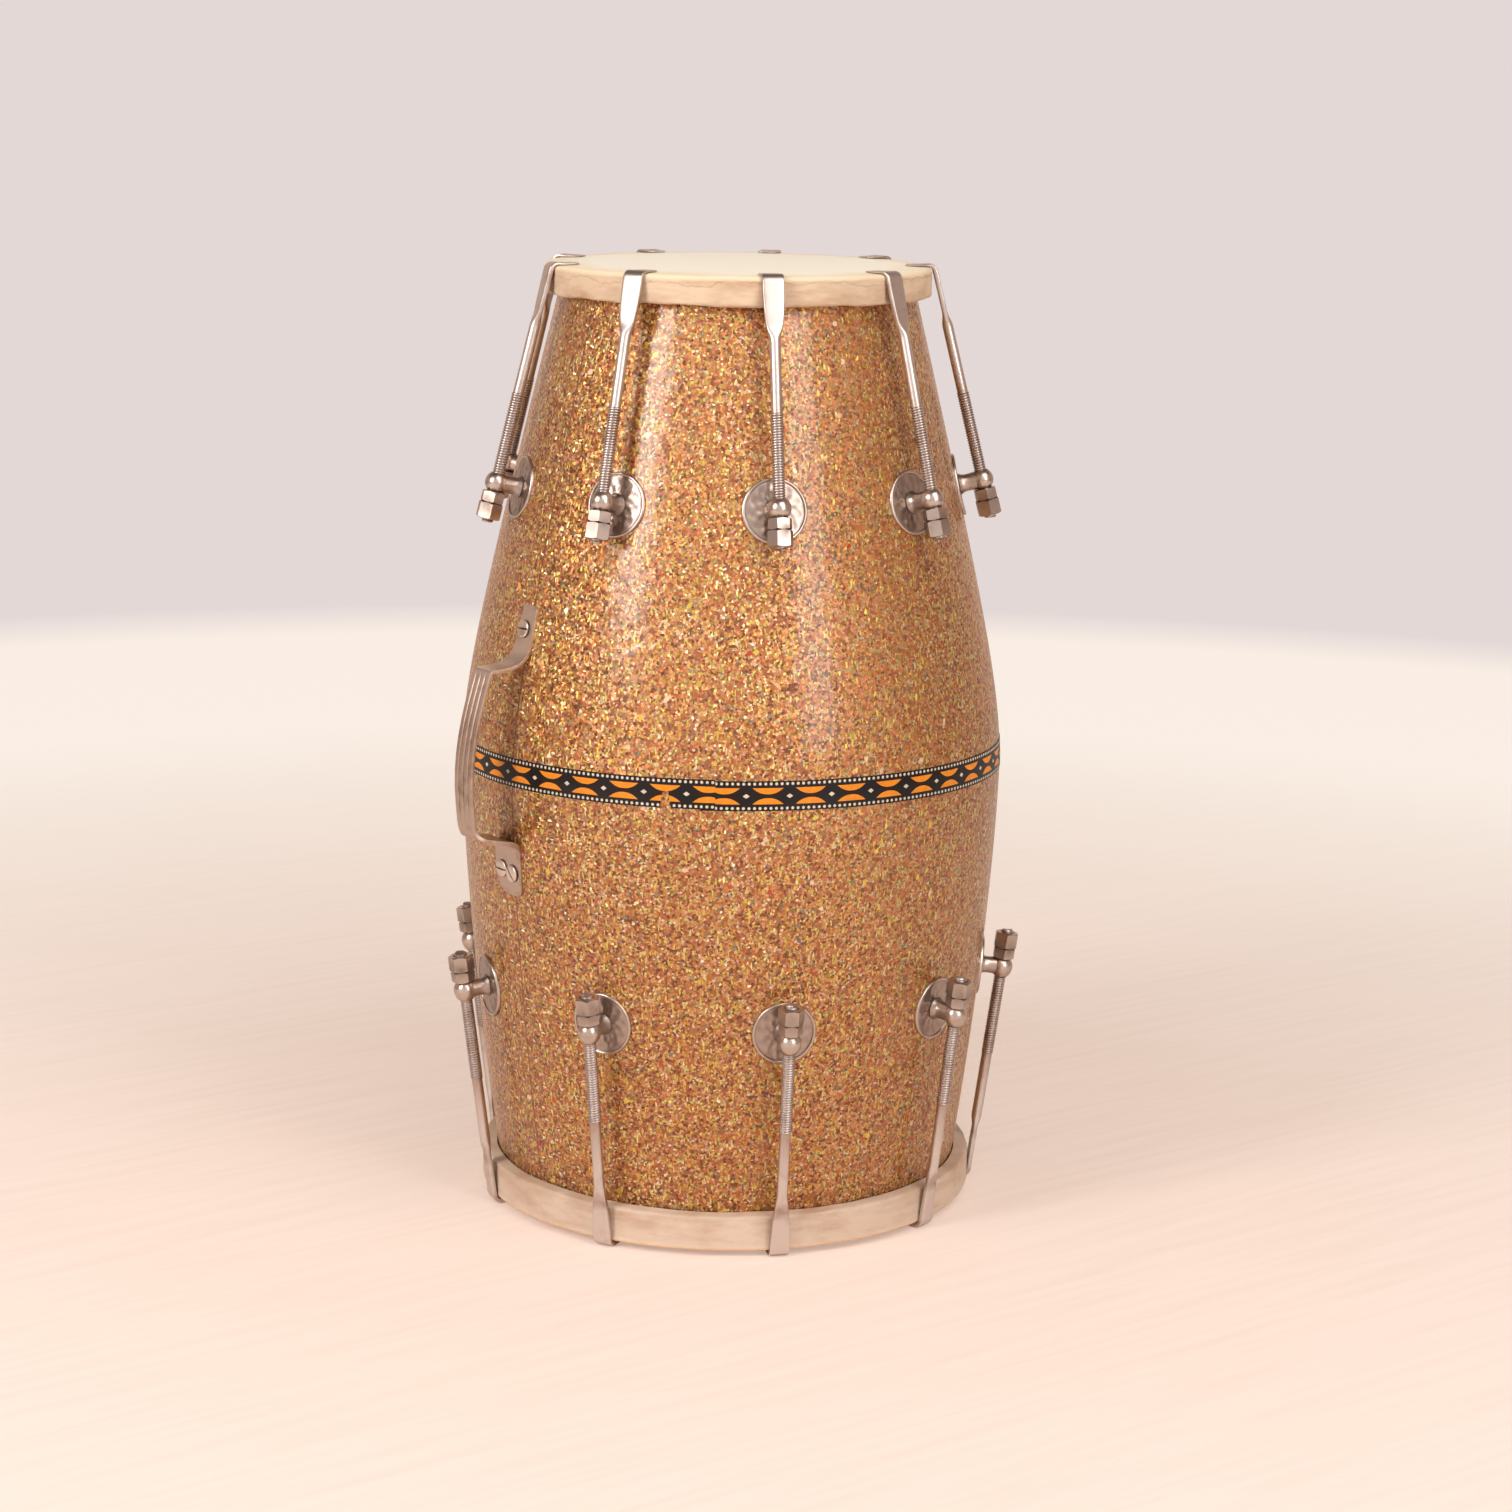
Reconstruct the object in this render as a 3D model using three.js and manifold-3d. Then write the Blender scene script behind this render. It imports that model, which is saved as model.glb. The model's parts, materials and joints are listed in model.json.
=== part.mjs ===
// A dholak: a hollow wooden barrel with a hide head lapped round a flat hoop at each end. Nine hook
// bolts a head draw its hoop towards ball-headed posts on the shell, where two nuts hold each bolt.
// A ribbed strap handle stands on one side. Millimetres, +Z along the drum's axis to the treble end,
// the middle of the bass playing face at the origin and the handle near -X.
import * as THREE from "three";
import { mergeVertices } from "three/addons/utils/BufferGeometryUtils.js";
import Module from "manifold-3d";

const wasm = await Module();
wasm.setup();

// Shell
const drumHeight = 470; // from playing face to playing face
const bellyHeight = 221; // of the widest circle, above the bass face
const bellyRadius = 136.5;
const trebleMouthRadius = 85;
const bassMouthRadius = 115.5;
const shellWall = 10;
const rimRound = 3.5; // how far the bearing edge slopes away at its outside
const rimChamfer = 1.5; // at its inside
const shoulderSoftShare = 0.2; // of the treble half's height, rounding the belly into the cone
const bassCurvePower = 1.53; // 1 would make the bass half a straight cone
const shellRings = 10;

// Heads and hoops
const hideThickness = 1.2;
const faceMargin = 5; // from the shell's mouth edge in to the flat playing face
const hoopDrop = 0.5; // the hoop's top below the playing face
const hoopCorner = 2.4; // rounding of the hide over the hoop's outer edge
const lapCorner = 1.5; // rounding where it tucks under the hoop
const trebleHoopStandoff = 7.39; // from the shell to the hoop's side, over the hide
const trebleHoopDepth = 14.6; // from the playing face to the tucked edge
const bassHoopStandoff = 7.87;
const bassHoopDepth = 18.5;
const hoopClearance = 0.6; // from the hoop's bore to the shell

// Hook bolts
const hooksPerHead = 9;
const sidesPerHook = 4; // facets of the round drum in each hook's share of the circle
const trebleHookDegrees = 4; // of the first hook from +X, anticlockwise seen from the treble end
const bassHookDegrees = 6.5;
const threadRadius = 3.1;
const shankRadius = 2.65;
const shankLength = 33; // plain shank between blade and thread
const bladeWidth = 10.4;
const bladeThickness = 2.5;
const bladeLength = 22; // straight part, hook bend to shoulder
const bladeBevel = 0.5;
const shoulderLength = 6.5; // where the blade is drawn down to the shank
const shoulderWidthShare = 0.78; // of the blade's width, where the drawing down starts
const clawReach = 13; // from the hoop's side in over the head
const clawNose = 2.5; // rounded end of the claw
const rodTail = 2; // of thread past the lock nut
const rodChamfer = 0.8;

// Nuts
const tuningNutAcrossFlats = 10.3;
const tuningNutHeight = 5.6;
const lockNutAcrossFlats = 11;
const lockNutHeight = 8;

// Ball posts
const treblePostDepth = 108.5; // from the playing face to the post's axis at the shell
const bassPostDepth = 112;
const ballStandoff = 13.2; // from the shell to the middle of the ball
const ballRadius = 5.6;
const ballSeat = 4.3; // from its middle to the flat that the tuning nut bears on
const neckRadius = 4.3;
const neckFlare = 1.2; // by which the neck widens to its rosette
const rosetteRadius = 15.7;
const rosetteThickness = 1.2;
const rosetteRim = 3.2; // width of its raised rim
const rosetteRise = 1.4; // of the rim and of the middle above the sheet
const rosetteLift = 0.15; // of its outer edge, over the fit, to clear the shell's facets
const postSides = 8;
const studRadius = 3.2;
const innerNutRadius = 6.4;
const innerNutHeight = 6;

// Handle
const handleDegrees = 182.2; // from +X, as for the hooks
const lowFootScrewHeight = 178; // of the feet's screws, above the bass face
const highFootScrewHeight = 297;
const footTip = 12; // from a screw to the end of its foot
const lowScrewToLeg = 13; // from a screw to where the leg leaves the shell
const highScrewToLeg = 17.5;
const lowLegRun = 8; // height over which a leg climbs to the grip
const highLegRun = 1;
const gripLowStandoff = 25.6; // from the shell to the grip's outer face
const gripHighStandoff = 23.1;
const gripCrown = 3.2; // by which its middle bows out further
const strapThickness = 1.8;
const lowFootWidth = 19;
const highFootWidth = 13;
const gripWidth = 14;
const lowFootRound = 6;
const highFootRound = 2.5;
const gripTaper = 9; // height over which the foot's width draws in to the grip's
const lowFootBend = 4;
const highFootBend = 9;
const gripBend = 2.8;
const gripSteps = 5;
const bendSteps = 3;
const ribCount = 3;
const ribHeight = 0.8;
const ribWidth = 2.2;
const ribEndShare = 0.08; // of the grip's height, left plain at each end
const screwHeadRadius = 4.3;
const screwHeadHeight = 1.8;
const screwShankRadius = 2;
const screwDepth = 8;

// Fits and small steps
const fitGap = 0.3; // between pieces that touch
const cutOverrun = 4;
const slopeSpan = 2; // for measuring the shell's slope
const weldDistance = 0.001;

const fullTurn = 2 * Math.PI;
const quarterTurn = fullTurn / 4;
const drumSides = hooksPerHead * sidesPerHook;
const octagonShare = Math.cos(fullTurn / 16);
const hexagonShare = Math.cos(fullTurn / 12);
const rimDepth = hideThickness + fitGap;
const facetTurn = fullTurn / drumSides;
const flatShare = Math.cos(facetTurn / 2); // a facet's distance from the axis, of the radius
const lowLegHeight = lowFootScrewHeight + lowScrewToLeg;
const highLegHeight = highFootScrewHeight - highScrewToLeg;
const gripLowHeight = lowLegHeight + lowLegRun;
const gripHighHeight = highLegHeight - highLegRun;
const hooksMiddle = THREE.MathUtils.degToRad((trebleHookDegrees + bassHookDegrees) / 2);
const drumTurn = quarterTurn + hooksMiddle - facetTurn / 2;

const woodColour = new THREE.MeshStandardMaterial({ color: 0xb97a45, roughness: 0.3, metalness: 0.25 });
const hideColour = new THREE.MeshStandardMaterial({ color: 0xf0d9b8, roughness: 0.75 });
const ironColour = new THREE.MeshStandardMaterial({ color: 0x6d6863, roughness: 0.6, metalness: 0.8 });
const nickelColour = new THREE.MeshStandardMaterial({ color: 0xc9b9ae, roughness: 0.22, metalness: 1 });

// A solid from a geometry whose faces meet edge to edge
function solidFrom(geometry) {
  const bare = new THREE.BufferGeometry();
  bare.setAttribute("position", geometry.getAttribute("position"));
  bare.setIndex(geometry.index);
  const merged = mergeVertices(bare, weldDistance);
  const corners = merged.index.array;
  const kept = [];
  for (let i = 0; i < corners.length; i += 3) {
    const [a, b, c] = corners.slice(i, i + 3);
    if (a !== b && b !== c && c !== a) kept.push(a, b, c);
  }
  const vertProperties = merged.attributes.position.array;
  return new wasm.Manifold(new wasm.Mesh({ numProp: 3, vertProperties, triVerts: new Uint32Array(kept) }));
}

function geometryFrom(solid) {
  const { vertProperties, triVerts } = solid.getMesh();
  const geometry = new THREE.BufferGeometry();
  geometry.setAttribute("position", new THREE.BufferAttribute(vertProperties, 3));
  geometry.setIndex(new THREE.BufferAttribute(triVerts, 1));
  geometry.computeVertexNormals();
  return geometry;
}

function named(name, solid, material) {
  const mesh = new THREE.Mesh(geometryFrom(solid), material);
  mesh.name = name;
  return mesh;
}

// Turns a closed outline of [radius, height] pairs round the Z axis
function revolved(outline, sides, turn = 0) {
  const points = outline.map(([radius, height]) => new THREE.Vector2(radius, height));
  if (THREE.ShapeUtils.isClockWise(points)) points.reverse();
  points.push(points[0].clone());
  return new THREE.LatheGeometry(points, sides, turn, fullTurn).rotateX(quarterTurn);
}

// Skins a row of rings that hold as many points each, and closes both ends
function lofted(rings) {
  const count = rings[0].length;
  const faces = [];
  for (let ring = 0; ring + 1 < rings.length; ring += 1) {
    for (let side = 0; side < count; side += 1) {
      const next = (side + 1) % count;
      const here = ring * count;
      const above = here + count;
      faces.push(here + side, here + next, above + next, here + side, above + next, above + side);
    }
  }
  const last = (rings.length - 1) * count;
  for (let side = 1; side + 1 < count; side += 1) {
    faces.push(0, side + 1, side, last, last + side, last + side + 1);
  }
  const geometry = new THREE.BufferGeometry();
  geometry.setAttribute("position", new THREE.Float32BufferAttribute(rings.flat(2), 3));
  geometry.setIndex(faces);
  return geometry;
}

// Points of an arc in a plane, from one angle to another
function arcPoints(centre, radius, from, to, steps) {
  return Array.from({ length: steps + 1 }, (_, i) => {
    const angle = THREE.MathUtils.lerp(from, to, i / steps);
    return [centre.x + radius * Math.cos(angle), centre.y + radius * Math.sin(angle)];
  });
}

// Angle of the line from a point that just touches a circle, on its left (+1) or right (-1)
function tangentAngle(from, centre, radius, side) {
  const away = centre.clone().sub(from);
  return away.angle() + side * Math.asin(radius / away.length());
}

// Outer radius of the shell at a height above the bass face
function shellRadius(height) {
  if (height < bellyHeight) {
    const below = (bellyHeight - height) / bellyHeight;
    return bellyRadius - (bellyRadius - bassMouthRadius) * below ** bassCurvePower;
  }
  const above = (height - bellyHeight) / (drumHeight - bellyHeight);
  const soft = shoulderSoftShare;
  const ramp = (Math.hypot(above, soft) - soft) / (Math.hypot(1, soft) - soft);
  return bellyRadius - (bellyRadius - trebleMouthRadius) * ramp;
}

// Each end is laid out from its own playing face, with Z out of the drum
const ends = [
  {
    name: "treble",
    faceHeight: drumHeight,
    outward: 1,
    mouthRadius: trebleMouthRadius,
    hoopRadius: shellRadius(drumHeight - trebleHoopDepth) + trebleHoopStandoff,
    hoopDepth: trebleHoopDepth,
    postDepth: treblePostDepth,
    hookDegrees: trebleHookDegrees,
  },
  {
    name: "bass",
    faceHeight: 0,
    outward: -1,
    mouthRadius: bassMouthRadius,
    hoopRadius: shellRadius(bassHoopDepth) + bassHoopStandoff,
    hoopDepth: bassHoopDepth,
    postDepth: bassPostDepth,
    hookDegrees: bassHookDegrees,
  },
];

const heightAt = (end, depth) => end.faceHeight - end.outward * depth;
const radiusAt = (end, depth) => shellRadius(heightAt(end, depth));
const shoulderDepth = rimDepth + rimRound;
const [wallTop, wallFoot] = ends.map((end) => heightAt(end, shoulderDepth));

// The wall runs straight from ring to ring, and this is its radius between them
function wallRadius(height) {
  const step = (wallTop - wallFoot) / shellRings;
  const below = THREE.MathUtils.clamp(Math.floor((height - wallFoot) / step), 0, shellRings - 1);
  const foot = wallFoot + below * step;
  return THREE.MathUtils.mapLinear(height, foot, foot + step, shellRadius(foot), shellRadius(foot + step));
}

// The hoop's rounded outer corner, the edge of the flat face and the slope of the hide between them
function hoopPlace(end) {
  const corner = new THREE.Vector2(end.hoopRadius - hoopCorner, -hoopDrop - hoopCorner);
  const faceEdge = new THREE.Vector2(end.mouthRadius - faceMargin, 0);
  const slope = tangentAngle(faceEdge, corner, hoopCorner, 1);
  return { corner, faceEdge, slope };
}

function endFrame(end) {
  const frame = new THREE.Group();
  frame.position.z = end.faceHeight;
  frame.rotation.x = end.outward > 0 ? 0 : fullTurn / 2;
  return frame;
}

// Hide: a flat face that slopes to the hoop, wraps its side and tucks under it
function hideSolid(end) {
  const { corner, faceEdge, slope } = hoopPlace(end);
  const lapRadius = radiusAt(end, end.hoopDepth) + hoopClearance;
  const innerCorner = hoopCorner - hideThickness;
  const wrap = slope - fullTurn + quarterTurn;
  const outline = [
    [0, 0],
    [faceEdge.x, faceEdge.y],
    ...arcPoints(corner, hoopCorner, wrap, 0, 2),
    [end.hoopRadius, lapCorner - end.hoopDepth],
    [end.hoopRadius - lapCorner, -end.hoopDepth],
    [lapRadius, -end.hoopDepth],
    [lapRadius, hideThickness - end.hoopDepth],
    [end.hoopRadius - hideThickness, hideThickness - end.hoopDepth],
    ...arcPoints(corner, innerCorner, 0, wrap, 1),
    [faceEdge.x, -hideThickness],
    [0, -hideThickness],
  ];
  return solidFrom(revolved(outline, drumSides, end.outward * drumTurn));
}

// Hoop: a flat iron ring inside the lapped hide
function hoopSolid(end) {
  const { corner } = hoopPlace(end);
  const round = hoopCorner - hideThickness - fitGap;
  const bore = radiusAt(end, end.hoopDepth) + hoopClearance;
  const foot = hideThickness + fitGap - end.hoopDepth;
  const outline = [
    [bore, corner.y + round],
    ...arcPoints(corner, round, quarterTurn, 0, 1),
    [corner.x + round, foot],
    [bore, foot],
  ];
  return solidFrom(revolved(outline, drumSides, end.outward * drumTurn));
}

// Bearing edge of the shell from its bore to its outer wall
function bearingEdge(end) {
  const bore = radiusAt(end, shoulderDepth) - shellWall;
  return [
    [bore, heightAt(end, rimDepth + rimChamfer)],
    [bore + rimChamfer, heightAt(end, rimDepth)],
    [end.mouthRadius - faceMargin, heightAt(end, rimDepth)],
    [radiusAt(end, shoulderDepth), heightAt(end, shoulderDepth)],
  ];
}

function shellSolid(holes) {
  const [trebleEdge, bassEdge] = ends.map(bearingEdge);
  const rings = Array.from({ length: shellRings - 1 }, (_, i) => {
    const height = THREE.MathUtils.lerp(wallFoot, wallTop, (i + 1) / shellRings);
    return [shellRadius(height), height];
  });
  const bore = rings.map(([radius, height]) => [radius - shellWall, height]);
  const outline = [...bassEdge, ...rings, ...trebleEdge.reverse(), ...bore.reverse()];
  const barrel = solidFrom(revolved(outline, drumSides, drumTurn));
  return holes.reduce((wall, hole) => wall.subtract(hole), barrel);
}

// Ball post: where it stands, how far it tips towards its hoop, and the line of its hook bolt
function postPlace(end) {
  const [radius, deeper] = [0, slopeSpan].map((depth) => wallRadius(heightAt(end, end.postDepth + depth)));
  const tilt = Math.atan2((deeper - radius) * flatShare, slopeSpan);
  const base = new THREE.Vector2(radius * flatShare, -end.postDepth);
  const ball = new THREE.Vector2(ballStandoff, 0).rotateAround(new THREE.Vector2(), tilt).add(base);
  const { corner, slope: hideSlope } = hoopPlace(end);
  const bendRadius = hoopCorner + fitGap + bladeThickness / 2;
  const lean = tangentAngle(ball, corner, bendRadius, -1) - quarterTurn;
  const reach = Math.sqrt(corner.distanceTo(ball) ** 2 - bendRadius ** 2);
  return { tilt, base, ball, lean, reach, bendRadius, bend: quarterTurn - lean + (hideSlope - fullTurn) };
}

function unitFrame(end, index) {
  const frame = new THREE.Group();
  const turn = THREE.MathUtils.degToRad(end.hookDegrees) + (fullTurn / hooksPerHead) * index;
  frame.rotation.z = end.outward * turn;
  return frame;
}

// Frame whose Z runs out along the post from the shell
function postFrame({ base, tilt }) {
  const frame = new THREE.Group();
  frame.position.set(base.x, 0, base.y);
  frame.rotation.y = quarterTurn - tilt;
  return frame;
}

// Frame whose Z runs along the hook bolt to the hoop, from the middle of the ball
function boltFrame({ ball, lean }) {
  const frame = new THREE.Group();
  frame.position.set(ball.x, 0, ball.y);
  frame.rotation.y = -lean;
  return frame;
}

function rod(radius, from, to, sides = 8) {
  const outline = [
    [0, from],
    [radius, from],
    [radius, to],
    [0, to],
  ];
  return revolved(outline, sides, fullTurn / sides / 2);
}

function studHole() {
  const radius = (studRadius + fitGap) / hexagonShare;
  return rod(radius, -shellWall - cutOverrun, cutOverrun, 6);
}

// Post: inner nut and stud, rosette, neck and a ball that is bored for the hook bolt
function postSolid(place) {
  const seat = -shellWall * Math.cos(place.tilt) - fitGap;
  const sheet = fitGap + rosetteThickness;
  const crest = sheet + rosetteRise;
  const outline = [
    [0, seat - innerNutHeight],
    [innerNutRadius, seat - innerNutHeight],
    [innerNutRadius, seat],
    [studRadius, seat],
    [studRadius, fitGap],
    [rosetteRadius, fitGap + rosetteLift],
    [rosetteRadius, sheet],
    [rosetteRadius - rosetteRim / 2, crest],
    [rosetteRadius - rosetteRim, sheet],
    [neckRadius + neckFlare, crest],
    [neckRadius, ballStandoff - ballRadius * Math.SQRT1_2],
    [ballRadius, ballStandoff - ballRadius / 3],
    [ballRadius, ballStandoff + ballRadius / 3],
    [0, ballStandoff + ballRadius],
  ];
  const post = solidFrom(revolved(outline, postSides, fullTurn / postSides / 2));
  const across = new THREE.Matrix4().makeRotationY(place.tilt - quarterTurn - place.lean);
  across.setPosition(0, 0, ballStandoff);
  const bore = (threadRadius + fitGap) / hexagonShare;
  const tunnel = rod(bore, -ballRadius - cutOverrun, ballRadius + cutOverrun, 6);
  const spotFace = rod(ballRadius + cutOverrun, -ballRadius - cutOverrun, -ballSeat, 4);
  const cuts = [tunnel, spotFace].map((cut) => solidFrom(cut.applyMatrix4(across)));
  return cuts.reduce((solid, cut) => solid.subtract(cut), post);
}

// Two hexagon nuts, one locked on the other, bored clear of the thread
function nutSolid() {
  const tuningCorner = tuningNutAcrossFlats / 2 / hexagonShare;
  const lockCorner = lockNutAcrossFlats / 2 / hexagonShare;
  const bore = (threadRadius + fitGap) / hexagonShare;
  const top = -ballSeat - fitGap;
  const join = top - tuningNutHeight;
  const outline = [
    [bore, top],
    [tuningCorner, top],
    [tuningCorner, join],
    [lockCorner, join],
    [lockCorner, join - lockNutHeight],
    [bore, join - lockNutHeight],
  ];
  return solidFrom(revolved(outline, 6));
}

// One eight-sided ring of the hook bolt, across its width (Y) and through its thickness
function boltRing(centre, angle, halfWidth, halfThickness, bevel) {
  const corners = [
    [halfThickness, bevel - halfWidth],
    [halfThickness, halfWidth - bevel],
    [halfThickness - bevel, halfWidth],
    [bevel - halfThickness, halfWidth],
    [-halfThickness, halfWidth - bevel],
    [-halfThickness, bevel - halfWidth],
    [bevel - halfThickness, -halfWidth],
    [halfThickness - bevel, -halfWidth],
  ];
  return corners.map(([out, y]) => [centre.x + out * Math.cos(angle), y, centre.y + out * Math.sin(angle)]);
}

function roundRing(height, radius) {
  const flat = radius * octagonShare;
  return boltRing(new THREE.Vector2(0, height), 0, flat, flat, flat * (1 - Math.tan(fullTurn / 16)));
}

// Hook bolt: thread, plain shank, flattened blade, bend round the hoop's corner, and claw
function hookSolid(place) {
  const { reach, bendRadius, bend } = place;
  const corner = new THREE.Vector2(-bendRadius, reach);
  const tail = -ballSeat - fitGap - tuningNutHeight - lockNutHeight - rodTail;
  const shoulder = reach - bladeLength;
  const shankTop = shoulder - shoulderLength;
  const threadTop = shankTop - shankLength;
  const halfWidth = bladeWidth / 2;
  const halfThickness = bladeThickness / 2;
  const bladeRing = (centre, angle, width = halfWidth, thickness = halfThickness) =>
    boltRing(centre, angle, width, thickness, bladeBevel);
  const straight = (height) => new THREE.Vector2(0, height);
  const bends = arcPoints(corner, bendRadius, 0, bend, bendSteps).slice(1);
  const turned = (i) => (bend * (i + 1)) / bendSteps;
  const bendRings = bends.map(([x, y], i) => bladeRing(new THREE.Vector2(x, y), turned(i)));
  return solidFrom(
    lofted([
      roundRing(tail, threadRadius - rodChamfer),
      roundRing(tail + rodChamfer, threadRadius),
      roundRing(threadTop, threadRadius),
      roundRing(threadTop + rodChamfer, shankRadius),
      roundRing(shankTop, shankRadius),
      bladeRing(straight(shoulder), 0, halfWidth * shoulderWidthShare, halfThickness),
      bladeRing(straight(reach), 0),
      ...bendRings,
      ...clawRings(place, corner, bladeRing),
    ]),
  );
}

// The claw's underside follows the hide's slope and its outer side lies level with the playing face
function clawRings({ ball, lean, bendRadius, bend }, corner, bladeRing) {
  const underRadius = bendRadius - bladeThickness / 2;
  const along = new THREE.Vector2(-Math.sin(bend), Math.cos(bend));
  const outward = new THREE.Vector2(Math.cos(bend), Math.sin(bend));
  const start = corner.clone().addScaledVector(outward, underRadius);
  const slope = quarterTurn - lean - bend;
  const startRadius = ball.x + start.x * Math.cos(lean) - start.y * Math.sin(lean);
  const length = (startRadius - clawTipRadius(ball, lean, corner)) / Math.cos(slope);
  const ringAt = (distance, width) => {
    const thickness = bladeThickness - distance * Math.tan(slope);
    const centre = start.clone().addScaledVector(along, distance).addScaledVector(outward, thickness / 2);
    return bladeRing(centre, bend, width, thickness / 2);
  };
  return [ringAt(length - clawNose, bladeWidth / 2), ringAt(length, bladeWidth / 2 - clawNose / 2)];
}

// The corner's place gives back the hoop's radius, from which the claw reaches in
function clawTipRadius(ball, lean, corner) {
  const cornerRadius = ball.x + corner.x * Math.cos(lean) - corner.y * Math.sin(lean);
  return cornerRadius + hoopCorner - clawReach;
}

// Rounds the inner points of a path of [x, y] points by the radii given for them
function rounded(path, radii) {
  return path.flatMap(([x, y], i) => {
    const radius = radii[i];
    if (!radius) return [[x, y]];
    const point = new THREE.Vector2(x, y);
    const before = new THREE.Vector2(...path[i - 1]).sub(point).normalize();
    const after = new THREE.Vector2(...path[i + 1]).sub(point).normalize();
    const half = Math.acos(before.dot(after)) / 2;
    const setback = radius / Math.tan(half);
    const centre = before.clone().add(after).normalize().multiplyScalar(radius / Math.sin(half)).add(point);
    const from = before.multiplyScalar(setback).add(point).sub(centre).angle();
    let to = after.multiplyScalar(setback).add(point).sub(centre).angle();
    if (to - from > fullTurn / 2) to -= fullTurn;
    if (from - to > fullTurn / 2) to += fullTurn;
    return arcPoints(centre, radius, from, to, bendSteps);
  });
}

// A strip of even thickness along a path, its outline closed
function stripShape(path, thickness) {
  const sides = [1, -1].map((side) =>
    path.map((point, i) => {
      const here = new THREE.Vector2(...point);
      const before = new THREE.Vector2(...path[Math.max(i - 1, 0)]);
      const after = new THREE.Vector2(...path[Math.min(i + 1, path.length - 1)]);
      const first = here.clone().sub(before).normalize();
      const second = after.sub(here).normalize();
      const along = first.add(second).normalize();
      const turn = i && i + 1 < path.length ? along.dot(second) : 1;
      return here.add(new THREE.Vector2(-along.y, along.x).multiplyScalar((side * thickness) / 2 / turn));
    }),
  );
  return new THREE.Shape([...sides[0], ...sides[1].reverse()]);
}

// Extrudes a shape of the radial plane by a width across the drum's axis plane
function acrossRadialPlane(shape, width, offset = 0) {
  const geometry = new THREE.ExtrudeGeometry(shape, { depth: width, bevelEnabled: false });
  return solidFrom(geometry.translate(0, 0, -width / 2).rotateX(quarterTurn).translate(0, offset, 0));
}

// A foot's middle line: it touches the barrel at its screw
function footLine(screwHeight) {
  const [below, above] = [-1, 1].map((side) => shellRadius(screwHeight + (side * slopeSpan) / 2));
  const slope = (above - below) / slopeSpan;
  const lift = (fitGap + strapThickness / 2) * Math.hypot(1, slope);
  return (height) => shellRadius(screwHeight) + lift + (height - screwHeight) * slope;
}

function gripRadius(share) {
  const height = THREE.MathUtils.lerp(gripHighHeight, gripLowHeight, share);
  const standoff = THREE.MathUtils.lerp(gripHighStandoff, gripLowStandoff, share);
  const bow = gripCrown * Math.sin((share * fullTurn) / 2);
  return [shellRadius(height) + standoff + bow - strapThickness / 2, height];
}

const gripPath = (from, to) =>
  Array.from({ length: gripSteps + 1 }, (_, i) => gripRadius(THREE.MathUtils.lerp(from, to, i / gripSteps)));

// The handle seen along the drum's radius: wide rounded feet and a narrower grip
function handleFront() {
  const lowFoot = lowFootWidth / 2;
  const highFoot = highFootWidth / 2;
  const grip = gripWidth / 2;
  const low = lowFootScrewHeight - footTip;
  const high = highFootScrewHeight + footTip;
  const shape = new THREE.Shape();
  shape.moveTo(lowFootRound - lowFoot, low);
  shape.lineTo(lowFoot - lowFootRound, low);
  shape.quadraticCurveTo(lowFoot, low, lowFoot, low + lowFootRound);
  shape.lineTo(lowFoot, lowLegHeight);
  shape.lineTo(grip, lowLegHeight + gripTaper);
  shape.lineTo(grip, highLegHeight - gripTaper);
  shape.lineTo(highFoot, highLegHeight);
  shape.lineTo(highFoot, high - highFootRound);
  shape.quadraticCurveTo(highFoot, high, highFoot - highFootRound, high);
  shape.lineTo(highFootRound - highFoot, high);
  shape.quadraticCurveTo(-highFoot, high, -highFoot, high - highFootRound);
  shape.lineTo(-highFoot, highLegHeight);
  shape.lineTo(-grip, highLegHeight - gripTaper);
  shape.lineTo(-grip, lowLegHeight + gripTaper);
  shape.lineTo(-lowFoot, lowLegHeight);
  shape.lineTo(-lowFoot, low + lowFootRound);
  shape.quadraticCurveTo(-lowFoot, low, lowFootRound - lowFoot, low);
  const depth = bellyRadius + gripHighStandoff + gripLowStandoff + gripCrown;
  const geometry = new THREE.ExtrudeGeometry(shape, { depth, bevelEnabled: false, curveSegments: 2 });
  return solidFrom(geometry.rotateX(quarterTurn).rotateZ(quarterTurn));
}

// Frame whose Z runs out of the shell through a foot's screw
function screwFrame(screwHeight) {
  const frame = new THREE.Group();
  const line = footLine(screwHeight);
  const slope = (line(screwHeight + slopeSpan) - line(screwHeight)) / slopeSpan;
  frame.position.set(line(screwHeight), 0, screwHeight);
  frame.rotation.y = quarterTurn + Math.atan(slope);
  frame.updateMatrix();
  return frame.matrix;
}

function screwSolid(screwHeight) {
  const seat = strapThickness / 2;
  const outline = [
    [0, -seat - screwDepth],
    [screwShankRadius, -seat - screwDepth],
    [screwShankRadius, 0],
    [screwHeadRadius, 0],
    [screwHeadRadius, seat + screwHeadHeight / 3],
    [screwHeadRadius / 2, seat + screwHeadHeight],
    [0, seat + screwHeadHeight],
  ];
  return solidFrom(revolved(outline, 8).applyMatrix4(screwFrame(screwHeight)));
}

function screwHole(screwHeight) {
  const radius = (screwShankRadius + fitGap) / octagonShare;
  const depth = strapThickness / 2 + screwDepth + fitGap;
  return rod(radius, -depth, 0).applyMatrix4(screwFrame(screwHeight));
}

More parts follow.
